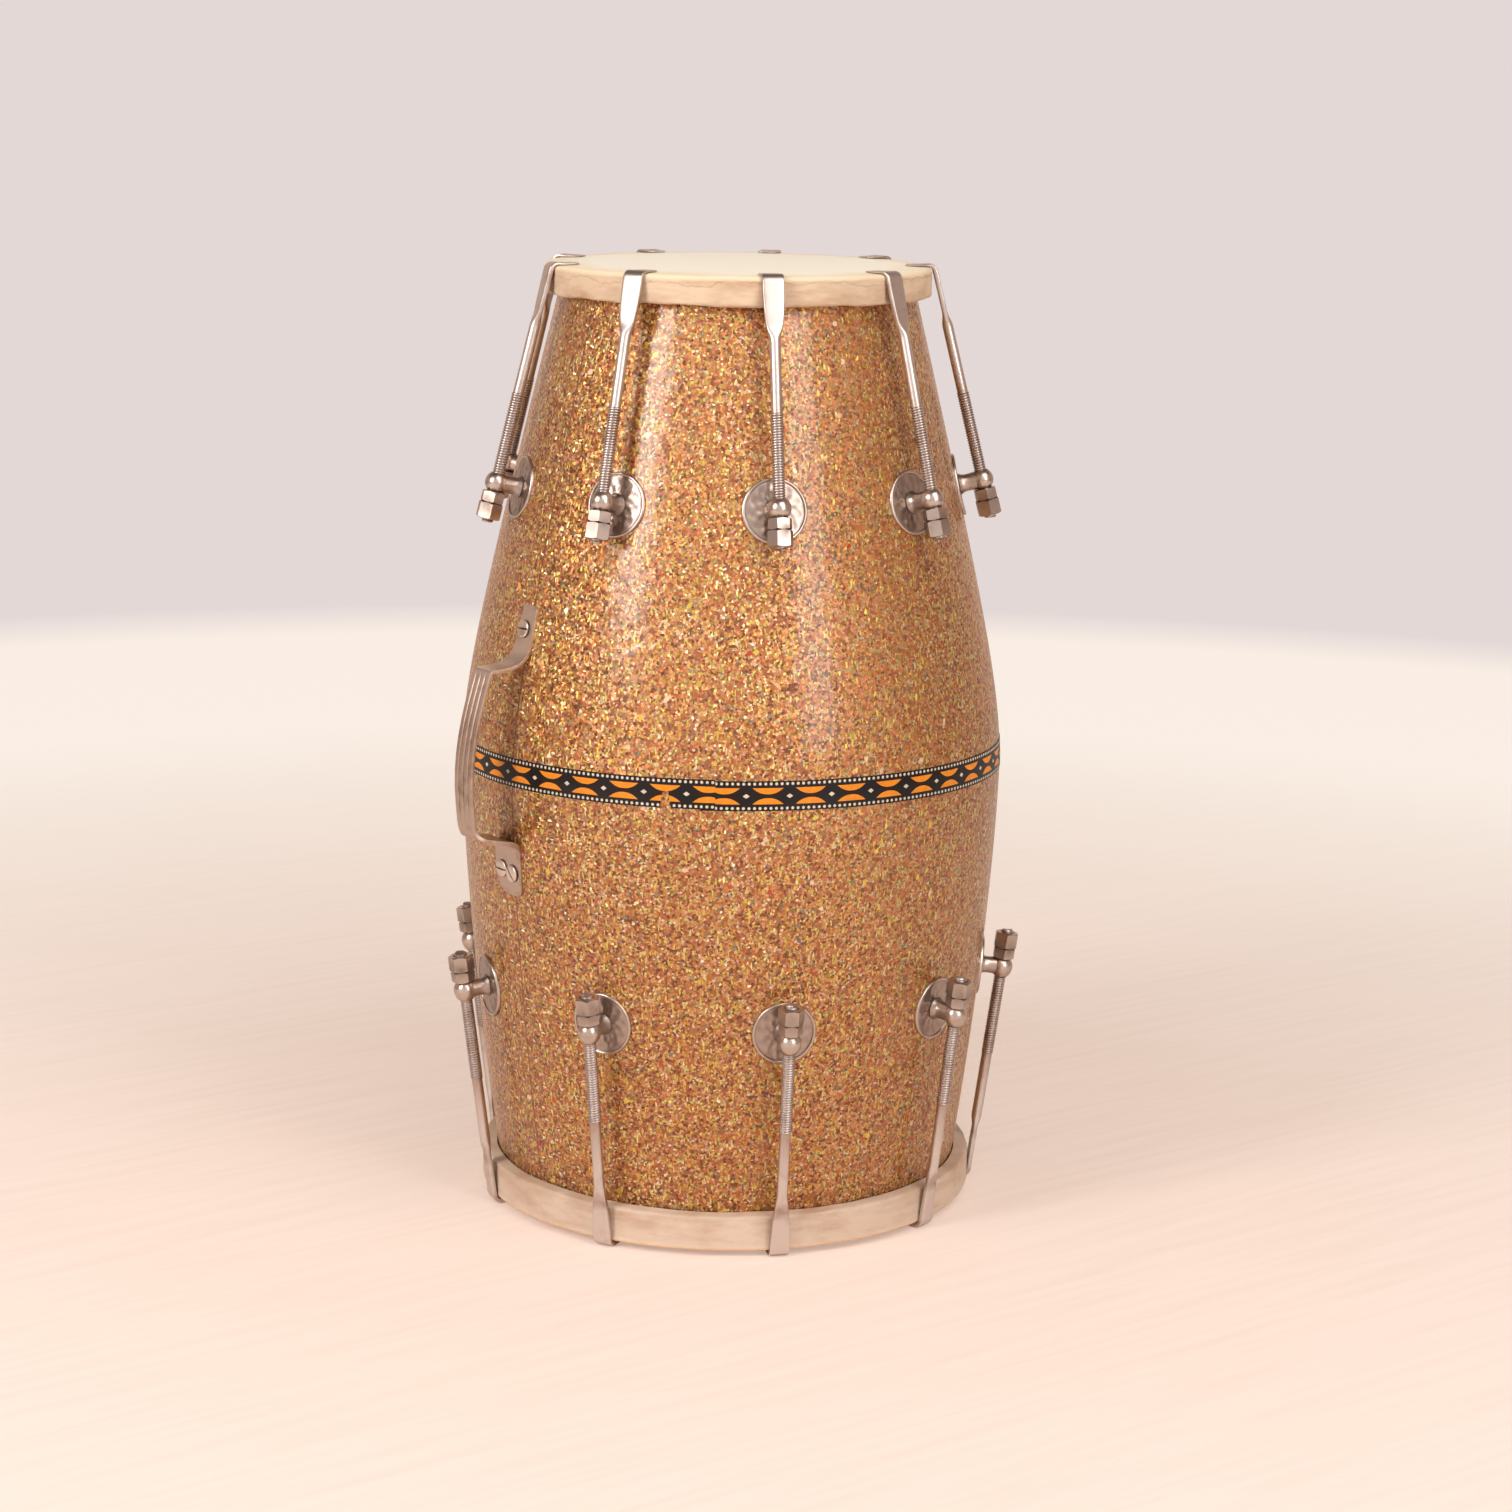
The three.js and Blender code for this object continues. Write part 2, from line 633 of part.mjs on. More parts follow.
// Handle: a strap bent out from two screwed feet into a bowed grip with ribs along it
function handleSolid() {
  const low = footLine(lowFootScrewHeight);
  const high = footLine(highFootScrewHeight);
  const lowTip = lowFootScrewHeight - footTip;
  const highTip = highFootScrewHeight + footTip;
  const grip = gripPath(0, 1);
  const path = [
    [high(highTip), highTip],
    [high(highLegHeight), highLegHeight],
    ...grip,
    [low(lowLegHeight), lowLegHeight],
    [low(lowTip), lowTip],
  ];
  const radii = path.map(() => 0);
  radii[1] = highFootBend;
  radii[2] = gripBend;
  radii[radii.length - 3] = gripBend;
  radii[radii.length - 2] = lowFootBend;
  const widest = Math.max(lowFootWidth, highFootWidth);
  const strap = acrossRadialPlane(stripShape(rounded(path, radii), strapThickness), widest);
  const body = strap.intersect(handleFront());
  const pitch = gripWidth / ribCount;
  const ribs = Array.from({ length: ribCount }, (_, i) => {
    const grip = gripPath(ribEndShare, 1 - ribEndShare);
    const path = grip.map(([radius, height]) => [radius + ribHeight / 2, height]);
    return acrossRadialPlane(stripShape(path, strapThickness), ribWidth, pitch * (i - (ribCount - 1) / 2));
  });
  const screws = [lowFootScrewHeight, highFootScrewHeight].map(screwSolid);
  return [...ribs, ...screws].reduce((solid, piece) => solid.add(piece), body);
}

const drum = new THREE.Group();
const holes = [];

for (const end of ends) {
  const frame = endFrame(end);
  const place = postPlace(end);
  const postGeometry = geometryFrom(postSolid(place));
  const hookGeometry = geometryFrom(hookSolid(place));
  const nutGeometry = geometryFrom(nutSolid());
  drum.add(frame);
  frame.add(named(`${end.name}_skin`, hideSolid(end), hideColour));
  frame.add(named(`${end.name}_hoop`, hoopSolid(end), ironColour));
  for (let index = 0; index < hooksPerHead; index += 1) {
    const unit = unitFrame(end, index);
    const stand = postFrame(place);
    const line = boltFrame(place);
    const post = new THREE.Mesh(postGeometry, nickelColour);
    const hook = new THREE.Mesh(hookGeometry, nickelColour);
    const nut = new THREE.Mesh(nutGeometry, nickelColour);
    post.name = `${end.name}_post_${index + 1}`;
    hook.name = `${end.name}_hook_${index + 1}`;
    nut.name = `${end.name}_nut_${index + 1}`;
    stand.add(post);
    line.add(hook, nut);
    unit.add(stand, line);
    frame.add(unit);
    stand.updateWorldMatrix(true, false);
    holes.push(solidFrom(studHole().applyMatrix4(stand.matrixWorld)));
  }
}

const handleFrame = new THREE.Group();
handleFrame.rotation.z = THREE.MathUtils.degToRad(handleDegrees);
handleFrame.add(named("handle", handleSolid(), nickelColour));
handleFrame.updateWorldMatrix(false, false);
for (const height of [lowFootScrewHeight, highFootScrewHeight]) {
  holes.push(solidFrom(screwHole(height).applyMatrix4(handleFrame.matrixWorld)));
}
drum.add(handleFrame);
drum.add(named("shell", shellSolid(holes), woodColour));

export default drum;
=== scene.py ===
"""Looks of a dholak: a glitter barrel, two hide heads, eighteen hook bolts and a strap handle.

Sizes are millimetres in the classes and metres in the finished meshes. +Z runs along the drum to
the treble head, the bass playing face is at zero, and the handle stands on -X.
"""

from __future__ import annotations

import json
import logging
import math
from collections.abc import Callable, Iterable, Mapping, Sequence
from dataclasses import dataclass
from enum import Enum
from functools import partial
from itertools import pairwise
from typing import Any

import bmesh
import bpy
from bmesh.types import BMesh, BMFace, BMVert
from bpy.types import ID, Material, Mesh, Node, NodeSocket, NodeTree, Object
from mathutils import Matrix, Vector, noise

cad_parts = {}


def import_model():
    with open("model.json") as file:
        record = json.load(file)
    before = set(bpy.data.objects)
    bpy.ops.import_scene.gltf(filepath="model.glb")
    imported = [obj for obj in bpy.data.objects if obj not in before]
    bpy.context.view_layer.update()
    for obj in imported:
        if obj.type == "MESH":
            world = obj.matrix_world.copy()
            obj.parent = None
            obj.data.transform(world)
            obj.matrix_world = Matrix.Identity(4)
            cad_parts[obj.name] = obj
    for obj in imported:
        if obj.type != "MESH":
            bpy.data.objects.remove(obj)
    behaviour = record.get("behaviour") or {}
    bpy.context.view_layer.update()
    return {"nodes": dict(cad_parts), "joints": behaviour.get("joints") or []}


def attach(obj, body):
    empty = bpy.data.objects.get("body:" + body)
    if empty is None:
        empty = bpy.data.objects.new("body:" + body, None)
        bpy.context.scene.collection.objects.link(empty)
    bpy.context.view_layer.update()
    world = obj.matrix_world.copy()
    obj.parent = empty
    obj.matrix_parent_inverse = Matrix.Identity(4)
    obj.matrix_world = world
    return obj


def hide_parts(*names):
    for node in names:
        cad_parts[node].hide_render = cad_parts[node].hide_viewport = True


LOG = logging.getLogger("dholak")
MM = 0.001
WELD = 0.005
GRIME_AND_SHADE, TARNISH = "grime", "tarnish"
UP = Vector((0, 0, 1))
Adder = Callable[..., Any]
Outline = Sequence[tuple[float, float]]
Stops = Sequence[tuple[float, str]]


def linear(code: str) -> tuple[float, float, float, float]:
    """Turns an sRGB hex colour into linear light.

    Args:
        code: Six hex digits.

    Returns:
        Red, green, blue and a full alpha.
    """
    shares = [int(code[i : i + 2], 16) / 255 for i in (0, 2, 4)]
    red, green, blue = (s / 12.92 if s <= 0.04045 else ((s + 0.055) / 1.055) ** 2.4 for s in shares)
    return red, green, blue, 1.0


def add_node(
    tree: NodeTree,
    kind: str,
    inputs: Mapping[str | int, Any] | Sequence[Any] = (),
    stops: Stops = (),
    **settings: Any,
) -> Node:
    """Adds a shader node with its settings and links.

    Args:
        tree: The tree that takes the node.
        kind: The node's type, without its ShaderNode prefix.
        inputs: A value, a hex colour, a socket, or a node whose output is linked, for each named
            or numbered input or for the first ones in order.
        stops: Places and hex colours, for a node with a colour ramp.
        settings: The node's own properties.

    Returns:
        The new node.
    """
    node = tree.nodes.new("ShaderNode" + kind)
    for name, value in settings.items():
        setattr(node, name, value)
    for name, value in inputs.items() if isinstance(inputs, Mapping) else enumerate(inputs):
        if isinstance(value, Node):
            value = next(socket for socket in value.outputs if socket.enabled)
        if isinstance(value, NodeSocket):
            tree.links.new(value, node.inputs[name])
        else:
            node.inputs[name].default_value = linear(value) if isinstance(value, str) else value
    if stops:
        ramp = node.color_ramp.elements
        while len(ramp) < len(stops):
            ramp.new(1.0)
        for element, (position, code) in zip(ramp, stops, strict=True):
            element.position, element.color = position, linear(code)
    return node


@dataclass(frozen=True)
class Finish:
    """A surface finish that makes one procedural material."""

    name: str

    def dress(self, add: Adder) -> Node:
        """Adds the finish's nodes.

        Args:
            add: Adds a node to the material.

        Returns:
            The shader.
        """
        raise NotImplementedError

    def material(self) -> Material:
        """Makes the material once.

        Returns:
            The material of that name.
        """
        found = bpy.data.materials.get(self.name)
        if found:
            return found
        made = bpy.data.materials.new(self.name)
        made.use_nodes = True
        made.node_tree.nodes.clear()
        add = partial(add_node, made.node_tree)
        add("OutputMaterial", {"Surface": self.dress(add)})
        return made


@dataclass(frozen=True)
class FlakeLayer:
    """One sprinkling of cut flakes: their sizes in mm, turn in radians and the share that shows."""

    size: tuple[float, float, float]
    turn: tuple[float, float, float]
    share: float
    palette: Stops


@dataclass(frozen=True)
class GlitterFilm(Finish):
    """Metallised polyester glitter sprinkled in resin, under brushed clear polyurethane.

    Each cut flake faces its own way, so single flakes flash while their neighbours stay dark. The
    coat was brushed on, so it waves a little and a lamp's light spreads in it.
    """

    layers: tuple[FlakeLayer, ...]
    ground: str
    gap: float
    tilt: float
    wave: float
    wave_height: float
    seam_degrees: float
    seam_width: float

    def sprinkle(self, add: Adder, place: NodeSocket, layer: FlakeLayer) -> tuple[Any, ...]:
        """Adds one layer of flakes.

        Args:
            add: Adds a node to the material.
            place: Object coordinates.
            layer: The flakes.

        Returns:
            The flakes' colour, their random direction, a mask of the ones that show, and their size.
        """
        scale = [1 / (size * MM) for size in layer.size]
        fit = add("Mapping", {"Vector": place, "Rotation": layer.turn, "Scale": scale})
        direction = add("TexVoronoi", {"Vector": fit, "Scale": 1.0}).outputs["Color"]
        chance = add("SeparateColor", (direction,)).outputs
        flakes = add("ValToRGB", (chance[0],), layer.palette)
        flakes.color_ramp.interpolation = "CONSTANT"
        shown = add("Math", (chance[1], layer.share), operation="LESS_THAN")
        return flakes, direction, shown, fit

    def seam(self, add: Adder, place: NodeSocket) -> Node:
        """Finds the line where the film's two edges meet.

        Args:
            add: Adds a node to the material.
            place: Object coordinates.

        Returns:
            1 on the seam and 0 elsewhere.
        """
        angle = math.radians(self.seam_degrees)
        ways = (-math.sin(angle), math.cos(angle), 0), (math.cos(angle), math.sin(angle), 0)
        side, ahead = (add("VectorMath", (place, way), operation="DOT_PRODUCT") for way in ways)
        near = add("Math", (side, 0.0, self.seam_width * MM / 2), operation="COMPARE")
        front = add("Math", (ahead, 0.0), operation="GREATER_THAN")
        return add("Math", (near, front), operation="MULTIPLY")

    def dress(self, add: Adder) -> Node:
        """Lays the flake layers over each other, cuts the film's seam and coats them.

        Args:
            add: Adds a node to the material.

        Returns:
            The shader.
        """
        place = add("TexCoord").outputs["Object"]
        colour, facing, _, fit = self.sprinkle(add, place, self.layers[0])
        edge = add("TexVoronoi", {"Vector": fit, "Scale": 1.0}, feature="DISTANCE_TO_EDGE")
        body = add("MapRange", (edge, 0.0, self.gap))
        colour = add("Mix", {0: body, 6: self.ground, 7: colour}, data_type="RGBA")
        for layer in self.layers[1:]:
            flakes, direction, shown, _ = self.sprinkle(add, place, layer)
            colour = add("Mix", {0: shown, 6: colour, 7: flakes}, data_type="RGBA")
            facing = add("Mix", {0: shown, 4: facing, 5: direction}, data_type="VECTOR")
        seam = self.seam(add, place)
        colour = add("Mix", {0: seam, 6: colour, 7: self.ground}, data_type="RGBA")
        lean = add("VectorMath", (facing, (0.5, 0.5, 0.5)), operation="SUBTRACT")
        lean = add("VectorMath", {0: lean, "Scale": self.tilt}, operation="SCALE")
        level = add("NewGeometry").outputs["Normal"]
        lean = add("VectorMath", (level, lean), operation="ADD")
        wave = add("TexNoise", {"Vector": place, "Scale": 1 / (self.wave * MM), "Detail": 1.0})
        ripple = {"Height": wave, "Strength": 1.0, "Distance": self.wave_height * MM}
        coat = {
            "Base Color": colour,
            "Normal": add("VectorMath", (lean,), operation="NORMALIZE"),
            "Metallic": 0.6,
            "Roughness": 0.45,
            "Coat Weight": 0.56,
            "Coat Roughness": 0.18,
            "Coat IOR": 1.5,
            "Coat Normal": add("Bump", ripple),
        }
        return add("BsdfPrincipled", coat)


@dataclass(frozen=True)
class PrintedPaper(Finish):
    """Gummed paper tape, printed black and orange with crisp small shapes and varnished over."""

    ground: str
    orange: str
    white: str
    width: float
    repeat: float
    lens: tuple[float, float]
    lens_gap: float
    lens_power: float
    dot: float
    dot_pitch: float
    dot_row: float
    diamond: tuple[float, float]
    rub: float

    def dress(self, add: Adder) -> Node:
        """Prints the lens pairs, the diamonds between them and the rows of dots.

        Args:
            add: Adds a node to the material.

        Returns:
            The shader.
        """

        def maths(operation: str, *values: Any) -> Node:
            """Works out one value from others."""
            return add("Math", values, operation=operation)

        along, up, _ = add("SeparateXYZ", (add("UVMap", uv_map="tape"),)).outputs
        turn = maths("FRACT", maths("DIVIDE", along, self.repeat))
        x = maths("MULTIPLY", maths("ABSOLUTE", maths("SUBTRACT", turn, 0.5)), self.repeat)
        y = maths("ABSOLUTE", maths("SUBTRACT", up, self.width / 2))
        half, tall = self.lens[0] / 2, self.lens[1]
        bulge = maths("MULTIPLY", maths("POWER", maths("DIVIDE", x, half), self.lens_power), tall)
        above = maths("GREATER_THAN", y, maths("ADD", bulge, self.lens_gap / 2))
        below = maths("LESS_THAN", y, self.lens_gap / 2 + tall)
        lens = maths("MULTIPLY", above, below)
        step = maths("FRACT", maths("DIVIDE", along, self.dot_pitch))
        dot_x = maths("MULTIPLY", maths("SUBTRACT", step, 0.5), self.dot_pitch)
        dot_y = maths("SUBTRACT", y, self.dot_row)
        squares = (maths("MULTIPLY", side, side) for side in (dot_x, dot_y))
        dots = maths("LESS_THAN", maths("SQRT", maths("ADD", *squares)), self.dot / 2)
        beside = maths("DIVIDE", maths("SUBTRACT", self.repeat / 2, x), self.diamond[0] / 2)
        slant = maths("ADD", beside, maths("DIVIDE", y, self.diamond[1] / 2))
        pale = maths("MAXIMUM", dots, maths("LESS_THAN", slant, 1.0))
        ink = add("Mix", {0: lens, 6: self.ground, 7: self.orange}, data_type="RGBA")
        ink = add("Mix", {0: pale, 6: ink, 7: self.white}, data_type="RGBA")
        place = add("TexCoord").outputs["Object"]
        rub = add("TexNoise", {"Vector": place, "Scale": 1 / (self.rub * MM), "Detail": 3.0})
        rub = add("MapRange", (rub, 0.3, 0.75, 1.0, 0.8))
        ink = add("Mix", {0: 1.0, 6: ink, 7: rub}, data_type="RGBA", blend_type="MULTIPLY")
        paper = {"Base Color": ink, "Roughness": 0.5, "Specular IOR Level": 0.2, "Coat Weight": 0.2}
        return add("BsdfPrincipled", paper)


class Wear(Enum):
    """How a nickelled piece has dulled: share of tarnish, and roughness clean and tarnished."""

    BRIGHT = (0.4, 0.28, 0.38)
    HANDLED = (0.4, 0.34, 0.42)
    AGED = (0.3, 0.33, 0.42)


@dataclass(frozen=True)
class NickelPlate(Finish):
    """Nickel plated mild steel, polished before plating and dulled by years of hands.

    Soft brown clouds of tarnish lie on it, and its threads and recesses are darkened by grime and painted
    shade.
    """

    wear: Wear
    clean: str
    tarnish: str
    grime: str = "4A362A"
    cloud: float = 9.0
    cloud_edge: tuple[float, float] = (0.62, 0.72)
    grime_roughness: float = 0.3

    def dress(self, add: Adder) -> Node:
        """Clouds the plate with tarnish and darkens its recesses with grime and painted shade.

        Args:
            add: Adds a node to the material.

        Returns:
            The shader.
        """
        share, polished, dull = self.wear.value
        place = add("TexCoord").outputs["Object"]
        cloudy = {"Vector": place, "Scale": 1 / (self.cloud * MM), "Detail": 5.0, "Roughness": 0.6}
        cloud = add("TexNoise", cloudy)
        low, high = self.cloud_edge
        thin = add("MapRange", (cloud, low - 0.3 * share, high, 0.0, share))
        marks = (add("Attribute", attribute_name=kind) for kind in (TARNISH, GRIME_AND_SHADE))
        aged, dirt_and_shade = (mark.outputs["Fac"] for mark in marks)
        aged = add("Math", (aged, thin), operation="ADD", use_clamp=True)
        # The grime attribute darkens recesses and joins: grime and painted shade, made a little patchy.
        patchy = add("MapRange", (cloud, 0.35, 0.65, 0.5, 1.15))
        dirt_and_shade = add("Math", (dirt_and_shade, patchy), operation="MULTIPLY", use_clamp=True)
        plate = add("Mix", {0: aged, 6: self.clean, 7: self.tarnish}, data_type="RGBA")
        plate = add("Mix", {0: dirt_and_shade, 6: plate, 7: self.grime}, data_type="RGBA")
        rough = add("MapRange", (aged, 0.0, 1.0, polished, dull))
        rough = add("Math", (dirt_and_shade, self.grime_roughness, rough), operation="MULTIPLY_ADD")
        return add("BsdfPrincipled", {"Base Color": plate, "Metallic": 1.0, "Roughness": rough})


@dataclass(frozen=True)
class RawHide(Finish):
    """Goat rawhide, limed, scraped and dried on its hoop.

    It is matt and a little see-through, pale and cloudy over the face, yellower where it thickens
    at the rim, and streaked along the lap by the folds it dried in.
    """

    end: DrumEnd
    face: str
    rim: str
    lap: str
    stain: str
    crease: float
    crease_depth: float = 5.5
    crease_sway: float = 20.0
    cloud: float = 28
    grain: float = 0.9
    folds: tuple[float, float, float] = (42, 42, 130)
    yellows_from: float = 0.85
    lap_from: tuple[float, float] = (0.8, 3.2)
    tuck_from: float = 0.45

    def dress(self, add: Adder) -> Node:
        """Shades the face to its rim and the lap to its tucked edge.

        Args:
            add: Adds a node to the material.

        Returns:
            The shader.
        """
        end, place = self.end, add("TexCoord").outputs["Object"]
        x, y, z = add("SeparateXYZ", (place,)).outputs
        radius = add("VectorMath", (add("CombineXYZ", (x, y)),), operation="LENGTH")
        sunk = (z, -end.outward / MM, end.outward * end.face)
        depth = add("Math", sunk, operation="MULTIPLY_ADD")
        clouded = {"Vector": place, "Scale": 1 / (self.cloud * MM), "Detail": 6.0, "Roughness": 0.55}
        cloud = add("TexNoise", clouded)
        rim, hoop = end.rim * MM, end.hoop_radius * MM
        ring = add("MapRange", (radius, rim * self.yellows_from, hoop, -0.3, 0.55))
        ring = add("Math", (ring, cloud), operation="ADD", use_clamp=True)
        ring = add("MapRange", (ring, 0.4, 1.0))
        skin = add("Mix", {0: ring, 6: self.face, 7: self.rim}, data_type="RGBA")
        side = add("MapRange", (depth, *self.lap_from))
        fold = add("Mapping", {"Vector": place, "Scale": self.folds})
        streaked = {"Vector": fold, "Scale": 1.0, "Detail": 5.0, "Roughness": 0.6}
        streak = add("TexNoise", streaked)
        tucked = end.hoop_depth * self.tuck_from, end.hoop_depth
        tuck = add("MapRange", (depth, *tucked, -0.04, 0.1))
        brown = add("Math", (streak, tuck), operation="ADD")
        brown = add("MapRange", (brown, 0.42, 0.76, 0.0, 0.8))
        # A dark line wanders along the lap where it folds: a stain with painted shade, and the bump below
        # presses the same line in.
        crease = add("Math", (cloud, -self.crease_sway, depth), operation="MULTIPLY_ADD")
        crease = add("Math", (crease, self.crease_depth), operation="ADD")
        crease = add("Math", (crease,), operation="ABSOLUTE")
        crease = add("MapRange", (crease, 0.1, 0.5, self.crease, 0.0))
        brown = add("Math", (brown, crease), operation="ADD", use_clamp=True)
        lap = add("Mix", {0: brown, 6: self.lap, 7: self.stain}, data_type="RGBA")
        skin = add("Mix", {0: side, 6: skin, 7: lap}, data_type="RGBA")
        grain = add("TexNoise", {"Vector": place, "Scale": 1 / (self.grain * MM), "Detail": 3.0})
        relief = add("Math", (streak, 3.0, grain), operation="MULTIPLY_ADD")
        relief = add("Math", (crease, -2.0, relief), operation="MULTIPLY_ADD")
        hide = {
            "Base Color": skin,
            "Normal": add("Bump", {"Height": relief, "Strength": 0.25, "Distance": 0.0004}),
            "Roughness": 0.58,
            "Subsurface Weight": 0.12,
            "Subsurface Scale": 0.002,
        }
        return add("BsdfPrincipled", hide)


@dataclass(frozen=True)
class TurnedWood(Finish):
    """Mango wood, bored and turned, left bare inside the barrel."""

    pale: str
    dark: str
    fibre: tuple[float, float, float] = (300, 300, 12)

    def dress(self, add: Adder) -> Node:
        """Runs the grain along the barrel.

        Args:
            add: Adds a node to the material.

        Returns:
            The shader.
        """
        place = add("TexCoord").outputs["Object"]
        fibre = add("Mapping", {"Vector": place, "Scale": self.fibre})
        grain = add("TexNoise", {"Vector": fibre, "Scale": 1.0, "Detail": 6.0})
        wood = add("Mix", {0: grain, 6: self.pale, 7: self.dark}, data_type="RGBA")
        bump = add("Bump", {"Height": grain, "Strength": 0.3, "Distance": 0.0003})
        return add("BsdfPrincipled", {"Base Color": wood, "Normal": bump, "Roughness": 0.75})


@dataclass(frozen=True)
class ForgedIron(Finish):
    """Mild steel flat, rolled into a hoop and lightly rusted under its hide."""

    clean: str
    rust: str
    spot: float = 6.0

    def dress(self, add: Adder) -> Node:
        """Spots the steel with rust.

        Args:
            add: Adds a node to the material.

        Returns:
            The shader.
        """
        place = add("TexCoord").outputs["Object"]
        spots = add("TexNoise", {"Vector": place, "Scale": 1 / (self.spot * MM), "Detail": 6.0})
        spots = add("MapRange", (spots, 0.45, 0.6))
        steel = add("Mix", {0: spots, 6: self.clean, 7: self.rust}, data_type="RGBA")
        bare = add("Math", (1.0, spots), operation="SUBTRACT")
        return add("BsdfPrincipled", {"Base Color": steel, "Metallic": bare, "Roughness": 0.55})


@dataclass(frozen=True)
class LimedBoard(Finish):
    """Softwood board, limed and sealed matt: pale, with faint streaks along the grain.

    It shines a little by itself to the camera, more so far away, so that it stays pale and still
    takes the drum's shadow. Far behind the drum it fades out, where the wall takes over. Its
    ranges are metres from the drum.
    """

    near: str
    far: str
    streak: str
    grain_degrees: float
    glows: tuple[float, float]
    deepens: tuple[float, float]
    fades: tuple[float, float]
    grain: tuple[float, float, float] = (9, 150, 1)

    def dress(self, add: Adder) -> Node:
        """Streaks the board, makes it shine and fades it out.

        Args:
            add: Adds a node to the material.

        Returns:
            The shader.
        """
        place = add("TexCoord").outputs["Object"]
        away = add("VectorMath", (place,), operation="LENGTH")
        turn = (0, 0, math.radians(self.grain_degrees))
        grain = add("Mapping", {"Vector": place, "Scale": self.grain, "Rotation": turn})
        grain = add("TexNoise", {"Vector": grain, "Scale": 1.0, "Detail": 5.0})
        grain = add("MapRange", (grain, 0.4, 0.75, 0.0, 0.4))
        deep, fade = (add("MapRange", (away, *span)) for span in (self.deepens, self.fades))
        board = add("Mix", {0: grain, 6: self.near, 7: self.streak}, data_type="RGBA")
        board = add("Mix", {0: deep, 6: board, 7: self.far}, data_type="RGBA")
        lit = add("BsdfDiffuse", {"Color": board})
        glow = add("Emission", {"Color": board, "Strength": 1.0})
        share = add("MapRange", (deep, 0.0, 1.0, *self.glows))
        seen = add("LightPath").outputs["Is Camera Ray"]
        share = add("Math", (seen, share), operation="MULTIPLY")
        board = add("MixShader", (share, lit, glow))
        return add("MixShader", (fade, board, add("BsdfTransparent")))


FLAKES = (
    *((0.0, "703F21"), (0.12, "975931"), (0.26, "B76F3B"), (0.42, "C4874C"), (0.56, "B25E33")),
    *((0.64, "CA9873"), (0.75, "C89B43"), (0.84, "D0BD6E"), (0.91, "978B47"), (0.945, "847C6B")),
    (0.965, "DFC7A9"),
)
GOLD_STRIPS = ((0.0, "CEAF4C"), (0.45, "C28043"), (0.75, "DAC787"), (0.9, "82492B"))
BROWN_STRIPS = ((0.0, "C79E50"), (0.4, "B45E33"), (0.7, "DDCC9B"), (0.88, "653D25"))
STRAYS = ((0.0, "CFAC43"), (0.3, "DCC0A1"), (0.65, "BC422B"), (0.8, "CA7C31"))
GLITTER = GlitterFilm(
    name="metallised_glitter_film_lacquered",
    layers=(
        FlakeLayer((1.25, 1.25, 1.25), (0.3, 0.2, 0.1), 1.0, FLAKES),
        FlakeLayer((0.8, 0.8, 2.4), (1.1, 0.5, 0.4), 0.07, GOLD_STRIPS),
        FlakeLayer((0.8, 2.4, 0.8), (0.7, 1.3, 2.1), 0.06, BROWN_STRIPS),
        FlakeLayer((1.9, 2.4, 2.1), (0.2, 0.9, 1.4), 0.005, STRAYS),
    ),
    ground="7E4B29",
    gap=0.08,
    tilt=0.7,
    wave=6.0,
    wave_height=0.3,
    seam_degrees=-176.5,
    seam_width=0.8,
)
TAPE_PRINT = PrintedPaper(
    name="gummed_paper_tape_printed",
    ground="150A08",
    orange="EE8C1E",
    white="D9CBB8",
    width=14.2,
    repeat=20.72,
    lens=(14.8, 2.95),
    lens_gap=1.85,
    lens_power=2.3,
    dot=1.4,
    dot_pitch=2.6,
    dot_row=5.82,
    diamond=(3.2, 2.2),
    rub=2.5,
)
BRIGHT_NICKEL = NickelPlate("nickel_plate_polished", Wear.BRIGHT, "BFB0A6", "8E7466")
HANDLED_NICKEL = NickelPlate("nickel_plate_handled", Wear.HANDLED, "DCCABD", "9C7C68")
AGED_NICKEL = NickelPlate("nickel_plate_tarnished", Wear.AGED, "D8D2CE", "9A7866")
BORE_WOOD = TurnedWood("mango_wood_turned", pale="B98A5A", dark="7C5233")
HOOP_IRON = ForgedIron("mild_steel_hoop_rolled", clean="77716B", rust="6A3E26")
FLOOR_BOARD = LimedBoard(
    name="softwood_board_limed",
    near="FAE2D3",
    far="FEF2E8",
    streak="F0D3C3",
    grain_degrees=43.0,
    glows=(0.42, 0.92),
    deepens=(0.3, 1.2),
    fades=(1.66, 1.84),
)


def lathe(bm: BMesh, outline: Outline, steps: int, closed: bool = False) -> list[BMVert]:
    """Turns an outline full circle round Z.

    Args:
        bm: The mesh that takes the shape.
        outline: Radius and height of each point.
        steps: Facets round the circle.
        closed: Whether the last point joins the first.

    Returns:
        The vertices of the turned shape.
    """
    before = set(bm.verts)
    points = [bm.verts.new((radius, 0, height)) for radius, height in outline]
    pairs = [*pairwise(points), (points[-1], points[0])] if closed else pairwise(points)
    edges = [bm.edges.new(pair) for pair in pairs]
    geom = [*points, *edges]
    bmesh.ops.spin(bm, geom=geom, axis=(0, 0, 1), angle=math.tau, steps=steps, use_merge=True)
    turned = [v for v in bm.verts if v not in before]
    bmesh.ops.remove_doubles(bm, verts=turned, dist=WELD)
    return [v for v in turned if v.is_valid]


def drawn(bm: BMesh, sections: Sequence[Sequence[Vector]]) -> None:
    """Extrudes a closed section through a row of places, capped at both ends.

    Args:
        bm: The mesh that takes the shape.
        sections: The points of each section, as many in each.
    """
    ring = bmesh.ops.create_circle(bm, cap_ends=True, radius=1.0, segments=len(sections[0]))["verts"]
    face = ring[0].link_faces[0]
    inner = []
    for vert, point in zip(face.verts, sections[0]):
        vert.co = point
    for section in sections[1:]:
        inner.append(face)
        made = bmesh.ops.extrude_face_region(bm, geom=[face])["geom"]
        face = next(item for item in made if isinstance(item, BMFace))
        for vert, point in zip(face.verts, section):
            vert.co = point
    bmesh.ops.delete(bm, geom=inner[1:], context="FACES_ONLY")


